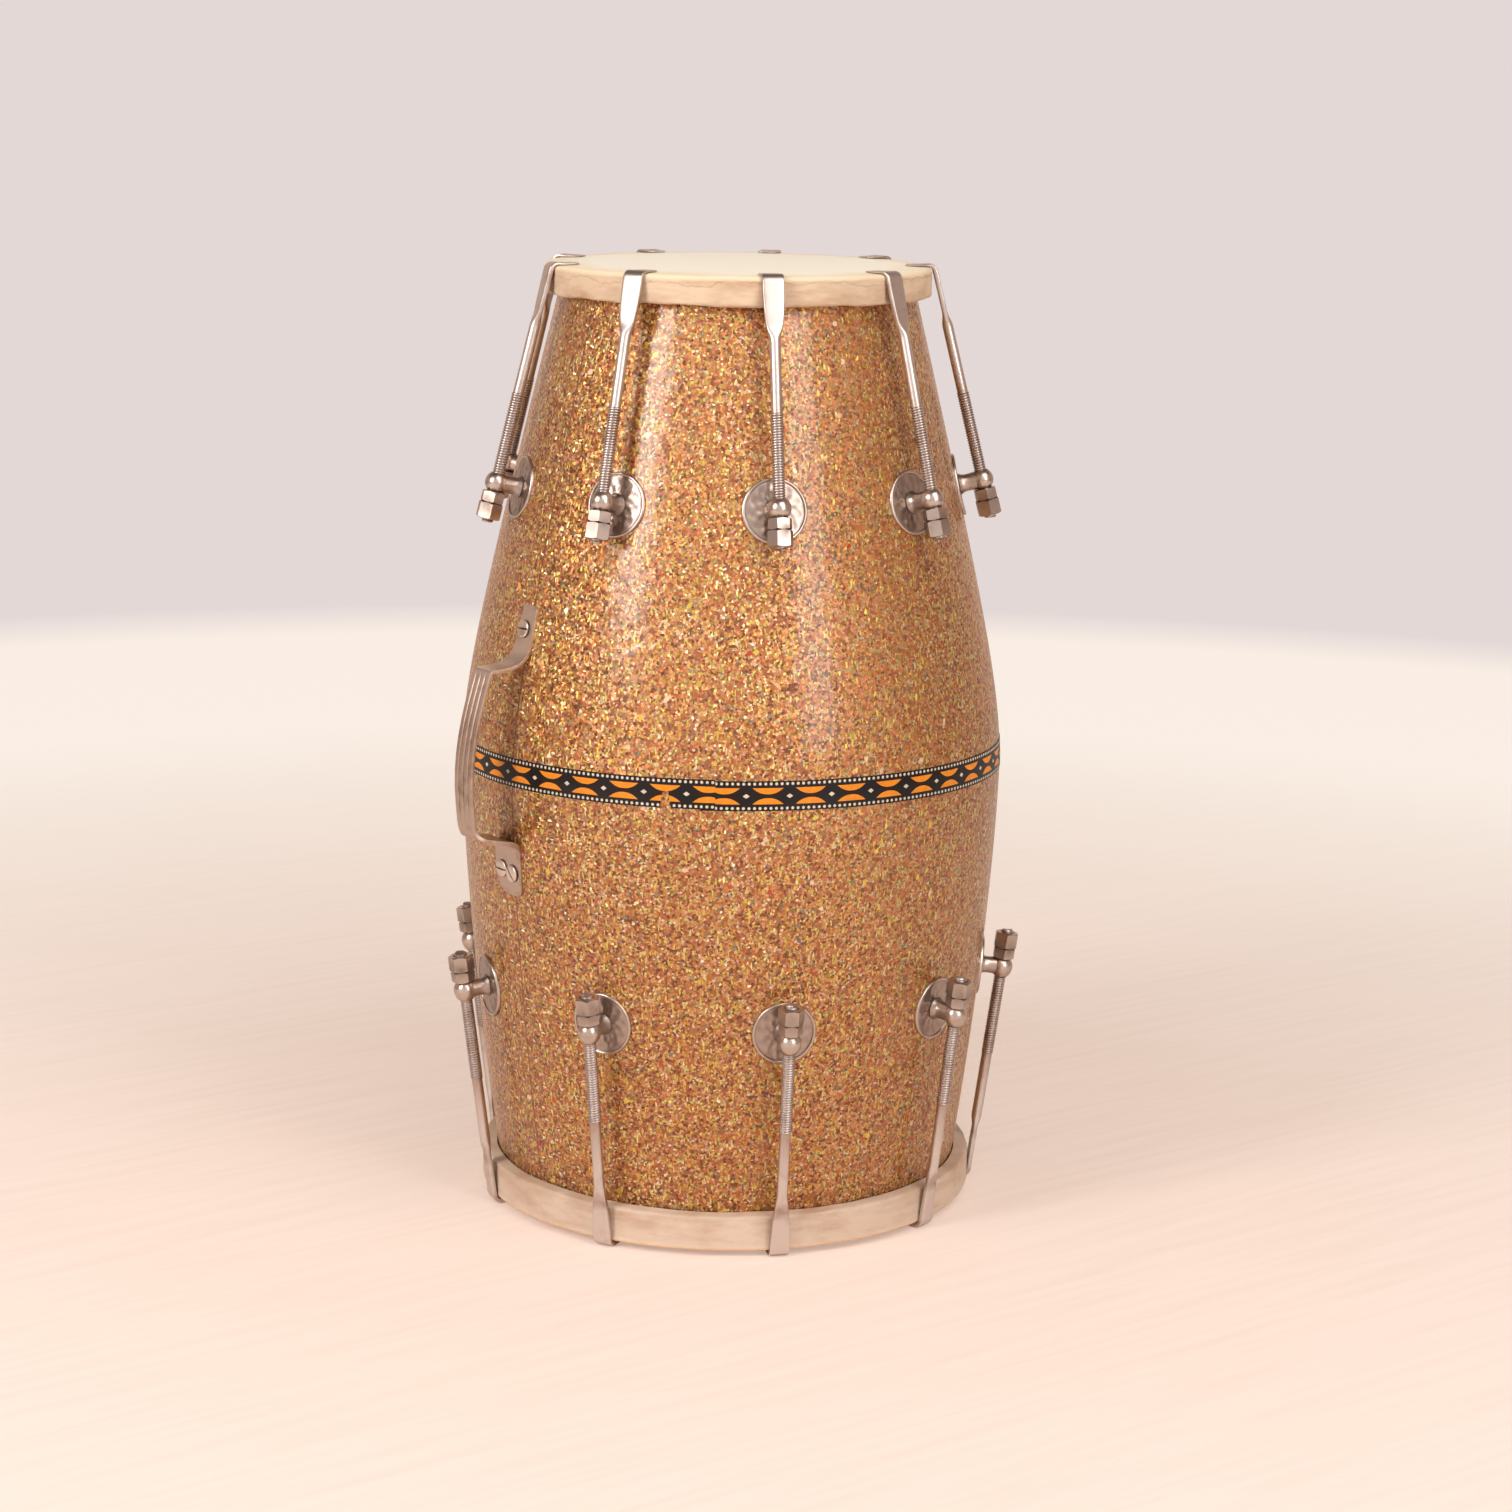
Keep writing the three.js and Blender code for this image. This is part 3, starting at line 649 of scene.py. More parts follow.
def sheet(bm: BMesh, columns: int, rows: int, place: Callable[[float, float], Vector]) -> list[BMVert]:
    """Lays a grid and carries each of its points to its place.

    Args:
        bm: The mesh that takes the shape.
        columns: Cells along.
        rows: Cells up.
        place: Gives a point from its shares along and up.

    Returns:
        The sheet's vertices.
    """
    points = bmesh.ops.create_grid(bm, x_segments=columns, y_segments=rows, size=0.5)["verts"]
    for point in points:
        point.co = place(point.co.x + 0.5, point.co.y + 0.5)
    return points


def metal_blank() -> BMesh:
    """Starts a mesh whose points can carry tarnish, and grime with painted shade."""
    bm = bmesh.new()
    bm.verts.layers.float.new(GRIME_AND_SHADE)
    bm.verts.layers.float.new(TARNISH)
    return bm


def age_and_shade(bm: BMesh, points: Iterable[BMVert], kind: str, amount: Callable[[Vector], float]) -> None:
    """Writes how much of one mark lies at each point, for the plate's material: tarnish, and grime with
    painted shade.

    Args:
        bm: The mesh.
        points: Its vertices to mark.
        kind: The mark's attribute.
        amount: Gives a share from a place.
    """
    layer = bm.verts.layers.float[kind]
    for point in points:
        point[layer] = amount(point.co)


def mesh_from(bm: BMesh, name: str, crease: float = 38.0, smooth: bool = True) -> Mesh:
    """Closes a bmesh into a mesh with its normals out and its hard edges marked.

    Args:
        bm: The shape, freed afterwards.
        name: The mesh's name.
        crease: Degrees between faces past which an edge stays hard.
        smooth: Whether the faces shade smoothly.

    Returns:
        The mesh.
    """
    bmesh.ops.recalc_face_normals(bm, faces=bm.faces)
    for face in bm.faces:
        face.smooth = smooth
    for edge in bm.edges:
        edge.smooth = edge.calc_face_angle(0.0) < math.radians(crease)
    mesh = bpy.data.meshes.new(name)
    bm.to_mesh(mesh)
    bm.free()
    return mesh


def link(name: str, data: ID) -> Object:
    """Puts an object with that data into the scene."""
    made = bpy.data.objects.new(name, data)
    bpy.context.scene.collection.objects.link(made)
    return made


def fit_piece(
    name: str, mesh: Mesh, place: Matrix, finishes: Sequence[Finish], body: str, slot: str, *nodes: str
) -> None:
    """Makes a piece of the drum from a mesh in millimetres.

    Args:
        name: The piece's name.
        mesh: Its mesh, in its own frame.
        place: The frame's place on the drum, in millimetres.
        finishes: Its finishes, in the order of the mesh's material numbers.
        body: The body that it moves with.
        slot: The record's material slot; not used.
        nodes: The solids that it stands for.
    """
    mesh.transform(Matrix.Scale(MM, 4) @ place)
    for finish in finishes:
        mesh.materials.append(finish.material())
    piece = link(name, mesh)
    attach(piece, body)
    if nodes:
        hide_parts(*nodes)
    LOG.info("%s: %d faces, on %s", name, len(mesh.polygons), body)


def frame_of(origin: Vector, x: Vector, z: Vector) -> Matrix:
    """Makes the matrix of a right-handed frame.

    Args:
        origin: Its place.
        x: Roughly its first axis.
        z: Its third axis.

    Returns:
        The frame as a matrix.
    """
    third = z.normalized()
    first = (x - third * x.dot(third)).normalized()
    made = Matrix((first, third.cross(first), third)).transposed().to_4x4()
    made.translation = origin
    return made


def arc(centre: Vector, radius: float, start: float, end: float, steps: int) -> Outline:
    """Works out the points of an arc.

    Args:
        centre: Its middle.
        radius: Its radius.
        start: The angle that it starts from, in radians.
        end: The angle that it ends at.
        steps: How many chords it has.

    Returns:
        Both ends and the points between them.
    """
    turns = [start + (end - start) * i / steps for i in range(steps + 1)]
    return [(centre.x + radius * math.cos(t), centre.y + radius * math.sin(t)) for t in turns]


def tangent(start: Vector, centre: Vector, radius: float, side: int) -> float:
    """Gives the angle of the line from a point that touches a circle on its left or right side."""
    away = centre - start
    return math.atan2(away.y, away.x) + side * math.asin(radius / away.length)


def ease(value: float, start: float, end: float) -> float:
    """Rises smoothly from 0 at start to 1 at end."""
    share = min(max((value - start) / (end - start), 0.0), 1.0)
    return share * share * (3 - 2 * share)


def between(profile: Outline, at: float) -> float:
    """Reads a value off a profile, straight between its points and level past its ends."""
    for (start, low), (end, high) in pairwise(profile):
        if at <= end:
            return low + (high - low) * max(0.0, at - start) / (end - start)
    return profile[-1][1]


@dataclass(frozen=True)
class BarrelLine:
    """The barrel's outer outline above the bass face."""

    height: float = 470
    belly_height: float = 221
    belly: float = 136.5
    treble_mouth: float = 85
    bass_mouth: float = 115.5
    soft_share: float = 0.2
    curve_power: float = 1.53

    def radius(self, height: float) -> float:
        """Gives the outer radius at a height.

        Args:
            height: Above the bass face.

        Returns:
            The radius.
        """
        if height < self.belly_height:
            below = (self.belly_height - height) / self.belly_height
            return self.belly - (self.belly - self.bass_mouth) * below**self.curve_power
        above = (height - self.belly_height) / (self.height - self.belly_height)
        soft = self.soft_share
        ramp = (math.hypot(above, soft) - soft) / (math.hypot(1, soft) - soft)
        return self.belly - (self.belly - self.treble_mouth) * ramp

    def slope(self, height: float, span: float = 10.0) -> float:
        """Gives how fast the radius grows with height."""
        return (self.radius(height + span / 2) - self.radius(height - span / 2)) / span


@dataclass(frozen=True)
class DrumEnd:
    """One end of the drum, laid out from its playing face with heights counted out of the drum."""

    name: str
    face: float
    outward: int
    mouth: float
    hoop_depth: float
    hoop_standoff: float
    line: BarrelLine
    face_margin: float = 5
    hoop_drop: float = 0.5
    hoop_corner: float = 2.4

    @property
    def rim(self) -> float:
        """The radius of the bearing edge, where the flat face ends."""
        return self.mouth - self.face_margin

    @property
    def hoop_radius(self) -> float:
        """The hoop's radius, over the hide."""
        return self.line.radius(self.face - self.outward * self.hoop_depth) + self.hoop_standoff

    @property
    def corner(self) -> Vector:
        """The middle of the hoop's rounded outer corner, as radius and height."""
        return Vector((self.hoop_radius - self.hoop_corner, -self.hoop_drop - self.hoop_corner))

    @property
    def slope(self) -> float:
        """The angle of the hide between the flat face and the hoop."""
        return tangent(Vector((self.rim, 0)), self.corner, self.hoop_corner, 1)

    def frame(self) -> Matrix:
        """Gives the end's frame, its Z out of the drum."""
        return frame_of(Vector((0, 0, self.face)), Vector((1, 0, 0)), UP * self.outward)


@dataclass
class Barrel:
    """The hollow wooden barrel under its glitter film."""

    line: BarrelLine
    ends: tuple[DrumEnd, DrumEnd]
    wall: float = 10
    edge_depth: float = 1.5
    edge_round: float = 3.5
    edge_chamfer: float = 1.5
    steps: int = 240
    rings: int = 96

    def bearing_edge(self, end: DrumEnd) -> Outline:
        """Outlines the edge that the hide lies on.

        Args:
            end: Its end of the drum.

        Returns:
            Its points from the bore out.
        """
        inside, outside = (
            end.face - end.outward * depth
            for depth in (self.edge_depth, self.edge_depth + self.edge_round)
        )
        bore = self.line.radius(outside) - self.wall
        return [
            (bore, inside - end.outward * self.edge_chamfer),
            (bore + self.edge_chamfer, inside),
            (end.rim, inside),
            (self.line.radius(outside), outside),
        ]

    def build(self) -> None:
        """Turns the barrel in one piece."""
        treble, bass = (self.bearing_edge(end) for end in self.ends)
        foot, top = bass[-1][1], treble[-1][1]
        heights = [foot + (top - foot) * i / self.rings for i in range(1, self.rings)]
        wall = [(self.line.radius(h), h) for h in heights]
        bore = [(self.line.radius(h) - self.wall, h) for h in heights[::4]]
        bm = bmesh.new()
        lathe(bm, [*bass, *wall, *reversed(treble), *reversed(bore)], self.steps, closed=True)
        for face in bm.faces:
            middle = face.calc_center_median()
            radius = math.hypot(middle.x, middle.y)
            outer = self.line.radius(middle.z) - self.wall / 2
            inside = foot < middle.z < top
            face.material_index = 0 if inside and radius > outer else 1
        mesh = mesh_from(bm, "glitter_barrel")
        finishes = (GLITTER, BORE_WOOD)
        fit_piece("glitter_barrel", mesh, Matrix(), finishes, "drum", "glitter_wood", "shell")


@dataclass
class PrintedTape:
    """The printed paper tape, glued round the belly with its end lapped over its start."""

    line: BarrelLine
    middle: float = 227.7
    sway: float = 2.7
    sway_degrees: float = -115.0
    thickness: float = 0.22
    lift: float = 0.06
    splice_degrees: float = -128.74
    lap: float = 7.0
    climb: float = 0.6
    first_lens: float = 4.2
    notch_degrees: float = -138.7
    notch_width: float = 5.4
    notch_height: float = 8.0
    tatter: float = 0.8
    columns: int = 1200
    rows: int = 8

    def build(self) -> None:
        """Lays the tape as a strip and gives it its thickness."""
        width = TAPE_PRINT.width
        radius = self.line.radius(self.middle)
        length = math.tau * radius + self.lap
        start = math.radians(self.splice_degrees) - self.lap / radius
        notch = (math.radians(self.notch_degrees) - start) % math.tau * radius
        high = math.radians(self.sway_degrees)

        def centre(along: float) -> float:
            """Gives the height of the tape's middle line, which was laid a little aslant."""
            aslant = math.cos(start + along * length / radius - high)
            return self.middle + self.climb * (along - 0.5) + self.sway * aslant

        def place(along: float, up: float) -> Vector:
            """Gives a point of the tape's underside.

            Args:
                along: Its share of the tape's length.
                up: Its share of the tape's width.

            Returns:
                Its place on the drum.
            """
            travel = along * length
            angle = start + travel / radius
            near = abs(travel - notch) / (self.notch_width / 2)
            torn = self.notch_height * (1 - ease(near, 0.55, 1.0))
            torn += self.tatter * noise.noise(Vector((travel * 0.9, 0, 0))) if torn else 0.0
            low = -width / 2 + max(torn, 0.0)
            height = centre(along) + low + up * (width / 2 - low)
            raised = (self.thickness + self.lift) * ease(travel, length - self.lap, length - self.lap + 1)
            outer = self.line.radius(height) + self.lift + raised
            return Vector((outer * math.cos(angle), outer * math.sin(angle), height))

        bm = bmesh.new()
        points = sheet(bm, self.columns, self.rows, lambda along, up: Vector((along, up, 0)))
        shares = {point: (point.co.x, point.co.y) for point in points}
        layer = bm.loops.layers.uv.new("tape")
        phase = TAPE_PRINT.repeat / 2 - self.lap - self.first_lens
        for face in bm.faces:
            for loop in face.loops:
                along, up = shares[loop.vert]
                level = place(along, up).z - centre(along) + width / 2
                loop[layer].uv = (along * length + phase, level)
        for point in points:
            point.co = place(*shares[point])
        bmesh.ops.recalc_face_normals(bm, faces=bm.faces)
        outside = bm.faces[:]
        outside[0].normal_update()
        if outside[0].normal.dot(outside[0].calc_center_median().xy.to_3d()) < 0:
            bmesh.ops.reverse_faces(bm, faces=outside)
        bmesh.ops.solidify(bm, geom=outside, thickness=-self.thickness)
        mesh = mesh_from(bm, "printed_tape")
        fit_piece("printed_tape", mesh, Matrix(), (TAPE_PRINT,), "drum", "glitter_wood")


@dataclass
class HideHead:
    """A hide stretched over the barrel's mouth and lapped round its hoop."""

    end: DrumEnd
    finish: RawHide
    hide: float = 1.2
    tuck_corner: float = 1.5
    clearance: float = 0.6
    ragged: float = 1.5
    crumple: float = 0.64
    steps: int = 288
    side_rows: int = 12

    def outline(self) -> Outline:
        """Outlines the hide from the middle of its face, round the hoop and back inside.

        Returns:
            The closed outline's points.
        """
        end, depth = self.end, self.end.hoop_depth
        wrap = end.slope + math.pi / 2
        shell = end.line.radius(end.face - end.outward * depth) + self.clearance
        top, foot = end.corner.y, self.tuck_corner - depth
        rows = range(1, self.side_rows)
        side = [(end.hoop_radius, top + (foot - top) * i / self.side_rows) for i in rows]
        tucked = Vector((end.hoop_radius - self.tuck_corner, foot))
        tuck = arc(tucked, self.tuck_corner, 0, -math.pi / 2, 4)
        return [
            *((end.rim * share, 0) for share in (0, 0.3, 0.6, 0.85, 1)),
            *arc(end.corner, end.hoop_corner, wrap, 0, 8),
            *side,
            *tuck,
            (shell, -depth),
            (shell, self.hide - depth),
            (end.hoop_radius - self.hide, self.hide - depth),
            *arc(end.corner, end.hoop_corner - self.hide, 0, wrap, 3),
            (end.rim, -self.hide),
            (0, -self.hide),
        ]

    def crease(self, point: Vector) -> Vector:
        """Moves a point as the wet hide dried: a ragged tucked edge and low folds along the lap.

        Args:
            point: The point, in the end's frame.

        Returns:
            Its new place.
        """
        end = self.end
        angle = math.atan2(point.y, point.x)
        across = Vector((math.cos(angle), math.sin(angle), 0))
        seed = 7.0 * end.outward
        drop = noise.noise(across * 3.1 + UP * seed) + 0.3 * noise.noise(across * 8 + UP * seed)
        low = ease(-point.z, end.hoop_depth * 0.35, end.hoop_depth)
        moved = point + UP * (drop * self.ragged * low)
        outside = math.hypot(point.x, point.y) > end.hoop_radius - self.tuck_corner - WELD
        if outside and point.z < -end.hoop_drop - end.hoop_corner:
            fold = noise.noise(across * 9 + UP * (point.z * 0.35 + seed))
            moved -= across * (self.crumple * abs(fold))
        return moved

    def build(self) -> None:
        """Turns the hide and creases it."""
        bm = bmesh.new()
        for vert in lathe(bm, self.outline(), self.steps):
            vert.co = self.crease(vert.co)
        name = f"{self.end.name}_hide"
        mesh = mesh_from(bm, name, crease=60)
        node = f"{self.end.name}_skin"
        fit_piece(name, mesh, self.end.frame(), (self.finish,), "drum", "hide", node)


@dataclass
class TuningUnits:
    """One end's hook bolts with their ball posts, rosettes and nuts, made once and set round it.

    The first one's place comes from its packed joint. The blade and the tarnish are profiles of
    width and share by the distance below the bend over the hoop, and the bend share is what the
    hammer leaves of the blade's thickness round that bend.
    """

    end: DrumEnd
    ball: Vector
    along: Vector
    blade: Outline
    tarnish: Outline
    bend_share: float
    thread_radius: float = 3.1
    thread_root: float = 2.6
    thread_pitch: float = 1.27
    thread_sides: int = 16
    thread_crest: tuple[float, float] = (0.36, 0.6)
    thread_age_and_shade: tuple[float, float] = (0.3, 0.4)
    shank_radius: float = 2.65
    shank_length: float = 33
    blade_thickness: float = 2.5
    blade_length: float = 22
    blade_rows: int = 19
    blade_square: float = 8
    shoulder_length: float = 6.5
    bend_rows: int = 8
    claw_reach: float = 13
    claw_nose: float = 2.5
    claw_taper: float = 0.45
    claw_rows: int = 4
    rod_tail: float = 2
    ball_radius: float = 5.6
    ball_seat: float = 4.3
    ball_grime_and_shade: float = 0.7
    bore: float = 3.35
    egg: float = 6.6
    neck_radius: float = 4.3
    neck_flare: float = 1.2
    neck_curve: Outline = ((1, 0), (0.7, 0.7), (0.3, 1.6), (0, 3.0))
    neck_age_and_shade: tuple[float, float] = (0.4, 0.3)
    rosette_radius: float = 15.7
    rosette_rim: float = 1.5
    rosette_rise: float = 0.7
    rosette_sheet: float = 0.7
    rosette_dish: tuple[float, float, float] = (0.5, 5.5, 0.15)
    rosette_rows: int = 12
    rosette_age_and_shade: tuple[float, float] = (0.4, 0.4)
    lobes: int = 11
    lobe_rings: tuple[tuple[float, float, float], ...] = ((2.8, 2.2, 0.0), (6.4, 2.0, 2.2))
    emboss: float = 0.22
    stud_radius: float = 3.2
    inner_nut: tuple[float, float] = (6.4, 6.0)
    tuning_nut: tuple[float, float] = (10.3, 5.6)
    lock_nut: tuple[float, float] = (11.0, 8.0)
    nut_chamfer: float = 0.25
    bore_chamfer: tuple[float, float] = (0.5, 0.6)
    nut_age_and_shade: tuple[float, float] = (0.55, 0.2)
    nut_step: float = 4.0
    section_sides: int = 24
    turned_sides: int = 40
    nut_sides: int = 48
    rosette_sides: int = 112
    fit: float = 0.3
    wall: float = 10

    @property
    def radial(self) -> Vector:
        """The level direction from the drum's axis to the ball."""
        return Vector((self.ball.x, self.ball.y, 0)).normalized()

    @property
    def bolt_frame(self) -> Matrix:
        """The bolt's frame: Z to the hoop and X away from the drum, from the ball's middle."""
        return frame_of(self.ball, self.radial, self.along)

    def post_frame(self) -> tuple[Matrix, float]:
        """Finds where the post stands on the barrel.

        Returns:
            The post's frame, Z out of the barrel, and the ball's height above it.
        """
        slope = self.end.line.slope(self.ball.z)
        out = (self.radial - UP * slope).normalized()
        height = self.ball_radius * 2
        for _ in range(6):
            foot = self.ball - out * height
            gap = math.hypot(foot.x, foot.y) - self.end.line.radius(foot.z)
            height += gap * out.dot(self.radial)
        return frame_of(self.ball - out * height, UP * -self.end.outward, out), height

    def local_ball(self) -> Vector:
        """The ball's middle in the plane of the bolt, as radius and height out of the drum."""
        level = math.hypot(self.ball.x, self.ball.y)
        return Vector((level, (self.ball.z - self.end.face) * self.end.outward))

    def thread(self, bm: BMesh, low: float, high: float) -> None:
        """Cuts the rod's thread as a helix.

        Args:
            bm: The bolt's mesh.
            low: Where it starts.
            high: Where it runs out.
        """
        before = set(bm.verts)
        pitch = self.thread_pitch
        root, radius = self.thread_root, self.thread_radius
        shape = ((root, 0), *((radius, share) for share in self.thread_crest), (root, 1))
        points = [bm.verts.new((r, 0, low + share * pitch)) for r, share in shape]
        edges = [bm.edges.new(pair) for pair in pairwise(points)]
        steps = round((high - low - pitch) / pitch * self.thread_sides)
        turn, rise = math.tau * steps / self.thread_sides, (0, 0, pitch / self.thread_sides)
        geom = [*points, *edges]
        bmesh.ops.spin(bm, geom=geom, axis=(0, 0, 1), dvec=rise, angle=turn, steps=steps)
        cut = [v for v in bm.verts if v not in before]
        bmesh.ops.remove_doubles(bm, verts=cut, dist=WELD * 4)
        cut = [v for v in cut if v.is_valid]
        bmesh.ops.holes_fill(bm, edges=[e for e in bm.edges if e.is_boundary])
        # The thread darkens towards its roots: grime and painted shade.
        grime, tarnish = self.thread_age_and_shade
        age_and_shade(bm, cut, GRIME_AND_SHADE, lambda at: grime * (1 - ease(at.xy.length, root, radius)))
        age_and_shade(bm, cut, TARNISH, lambda at: tarnish)
        for vert in cut:
            limit = root - 0.5 + max(vert.co.z - low, 0) * 0.9
            limit = min(limit, root + max(high - vert.co.z, 0) * 0.5)
            if vert.co.xy.length > limit:
                scale = limit / vert.co.xy.length
                vert.co = Vector((vert.co.x * scale, vert.co.y * scale, vert.co.z))

    def section(
        self, middle: Vector, angle: float, width: float, thickness: float, square: float
    ) -> list[Vector]:
        """Works out a section of the bolt, between round and square.

        Args:
            middle: Its middle, as distance out and along.
            angle: How far the bolt has bent there, in radians.
            width: Half of its width.
            thickness: Half of its thickness.
            square: 2 for an ellipse, and more for a squarer section.

        Returns:
            Its points in the bolt's frame.
        """
        points = []
        for i in range(self.section_sides):
            turn = math.tau * (i + 0.5) / self.section_sides
            cos, sin = math.cos(turn), math.sin(turn)
            out = thickness * math.copysign(abs(cos) ** (2 / square), cos)
            side = width * math.copysign(abs(sin) ** (2 / square), sin)
            x, z = middle.x + out * math.cos(angle), middle.y + out * math.sin(angle)
            points.append(Vector((x, side, z)))
        return points

    def hook(self) -> Mesh:
        """Forges the hook bolt: thread, plain shank, flattened blade, bend and claw.

        Returns:
            Its mesh, in the bolt's frame.
        """
        end, ball = self.end, self.local_ball()
        bend_radius = end.hoop_corner + self.fit + self.blade_thickness / 2
        lean = tangent(ball, end.corner, bend_radius, -1) - math.pi / 2
        reach = math.sqrt((end.corner - ball).length_squared - bend_radius**2)
        bend = math.pi / 2 - lean + end.slope
        thin, plain = self.blade_thickness / 2, self.shank_radius
        forged = self.blade_length + self.shoulder_length
        shank_top = reach - forged
        thread_top = shank_top - self.shank_length
        tail = -self.ball_seat - self.fit - self.tuning_nut[1] - self.lock_nut[1] - self.rod_tail
        spots = (thread_top - 1, thread_top, thread_top + 12, shank_top - 8, shank_top - 1)
        sections = [self.section(Vector((0, z)), 0, plain, plain, 2) for z in spots]
        for i in range(self.blade_rows + 1):
            below = forged * (1 - i / self.blade_rows)
            flat = ease(forged - below, 0, self.shoulder_length + 1)
            width = between(self.blade, below) / 2
            thick = plain + (thin - plain) * flat
            square = 2 + (self.blade_square - 2) * ease(forged - below, 1, 11)
            sections.append(self.section(Vector((0, reach - below)), 0, width, thick, square))
        corner, half = Vector((-bend_radius, reach)), between(self.blade, 0) / 2
        for share in (i / self.bend_rows for i in range(1, self.bend_rows + 1)):
            angle = bend * share
            hammered = thin * (1 - (1 - self.bend_share) * share)
            away = bend_radius - thin + hammered
            middle = corner + away * Vector((math.cos(angle), math.sin(angle)))
            sections.append(self.section(middle, angle, half, hammered, self.blade_square))
        sections.extend(self.claw(corner, bend, lean, ball))
        bm = metal_blank()
        self.thread(bm, tail, thread_top)
        made = set(bm.verts)
        drawn(bm, sections)
        forging = [v for v in bm.verts if v not in made]
        age_and_shade(bm, forging, TARNISH, lambda at: between(self.tarnish, reach - at.z))
        return mesh_from(bm, "hook_bolt")

    def claw(self, corner: Vector, bend: float, lean: float, ball: Vector) -> list[list[Vector]]:
        """Works out the claw, which follows the hide below and lies level with the face above.

        Args:
            corner: The middle of the bend, in the bolt's frame.
            bend: The bend's angle.
            lean: The bolt's lean towards the drum.
            ball: The ball's middle, as radius and height.

        Returns:
            The claw's sections.
        """
        half = between(self.blade, 0) / 2
        outward = Vector((math.cos(bend), math.sin(bend)))
        along = Vector((-outward.y, outward.x))
        start = corner + outward * (self.end.hoop_corner + self.fit)
        slope = math.pi / 2 - lean - bend
        start_radius = ball.x + start.x * math.cos(lean) - start.y * math.sin(lean)
        length = (start_radius - (self.end.hoop_radius - self.claw_reach)) / math.cos(slope)
        flat, nose = length - self.claw_nose, self.claw_nose
        made = []
        for share in (i / self.claw_rows for i in range(1, 2 * self.claw_rows + 1)):
            turn = max(0.0, share - 1) * math.pi / 2
            distance = flat * min(share, 1) + nose * math.sin(turn)
            width = half - nose * (1 - math.cos(turn)) * 0.9
            thickness = self.blade_thickness * self.bend_share - distance * math.tan(slope)
            thickness *= 1 - self.claw_taper * distance / length
            middle = start + along * distance + outward * (thickness / 2)
            made.append(self.section(middle, bend, width, thickness / 2, self.blade_square))
        return made

    def nuts(self) -> Mesh:
        """Cuts the tuning nut and the lock nut behind it, with turned corners.

        Returns:
            Their mesh, in the bolt's frame.
        """
        bm = metal_blank()
        top = -self.ball_seat - self.fit
        join = top - self.tuning_nut[1]
        tuning, lock = self.tuning_nut, self.lock_nut
        for flats, low, high in ((tuning[0], join + 0.05, top), (lock[0], join - lock[1], join)):
            inscribed, (wide, deep) = flats / 2 - self.nut_chamfer, self.bore_chamfer
            lower = [(self.bore, low + deep), (self.bore + wide, low), (inscribed, low), (flats, low)]
            upper = [(radius, low + high - z) for radius, z in reversed(lower)]
            for vert in lathe(bm, [*lower, *upper], self.nut_sides, closed=True):
                if vert.co.xy.length < flats - 1:
                    continue
                angle = math.atan2(vert.co.y, vert.co.x)
                from_flat = (angle + math.pi / 6) % (math.pi / 3) - math.pi / 6
                reach = flats / 2 / math.cos(from_flat)
                chamfer = (reach - inscribed) * math.tan(math.pi / 6)
                z = low + chamfer if vert.co.z < (low + high) / 2 else high - chamfer
                vert.co = Vector((reach * math.cos(angle), reach * math.sin(angle), z))
        # The nuts darken towards their join: grime and painted shade.
        grime, tarnish = self.nut_age_and_shade
        age_and_shade(bm, bm.verts, GRIME_AND_SHADE, lambda at: grime * ease(-abs(at.z - join), -1.2, 0))
        age_and_shade(bm, bm.verts, TARNISH, lambda at: tarnish)
        return mesh_from(bm, "nut_pair", crease=25)

    def ball_end(self, bm: BMesh) -> None:
        """Turns the ball that the bolt passes through, flat where the nut bears on it.

        Args:
            bm: The post's mesh, in the bolt's frame.
        """
        radius, seat = self.ball_radius, self.ball_seat
        egg = self.egg if self.end.outward < 0 else radius
        outline = [(self.bore, -seat), (math.sqrt(radius**2 - seat**2), -seat)]
        steps, first, last = 20, math.asin(-seat / radius), math.acos(self.bore / radius)
        for i in range(1, steps + 1):
            angle = first + (last - first) * i / steps
            tall = egg if angle > 0 else radius
            outline.append((radius * math.cos(angle), tall * math.sin(angle)))
        turned = lathe(bm, outline, self.turned_sides, closed=True)
        # The ball darkens round its bore, where the nut bears on it: grime and painted shade.
        lip = self.bore + 0.7
        age_and_shade(bm, turned, GRIME_AND_SHADE, lambda at: self.ball_grime_and_shade * ease(-at.xy.length, -lip, -self.bore))

    def neck(self, bm: BMesh, height: float) -> None:
        """Turns the post's neck, its stud and the nut that holds it inside the barrel.

        Args:
            bm: The post's mesh, in the post's frame.
            height: The ball's middle above the barrel.
        """
        nut_radius, nut_height = self.inner_nut
        inside, neck = -self.wall - self.fit, self.neck_radius
        flare = self.rosette_sheet + 0.3
        neck_top = height - math.sqrt(self.ball_radius**2 - neck**2) + 0.4
        outline = [
            *((0, inside - nut_height), (nut_radius, inside - nut_height), (nut_radius, inside)),
            *((self.stud_radius, inside), (self.stud_radius, self.fit)),
            *((neck + self.neck_flare * share, flare + up) for share, up in self.neck_curve),
            *((neck, (flare + neck_top) / 2 + 1), (neck + 0.3, neck_top), (0, neck_top)),
        ]
        turned = lathe(bm, outline, self.turned_sides)
        # The neck darkens towards its foot on the rosette: grime and painted shade.
        grime, tarnish = self.neck_age_and_shade
        age_and_shade(bm, turned, GRIME_AND_SHADE, lambda at: grime * ease(-at.z, -flare - 2.0, -flare - 0.2))
        age_and_shade(bm, turned, TARNISH, lambda at: tarnish)

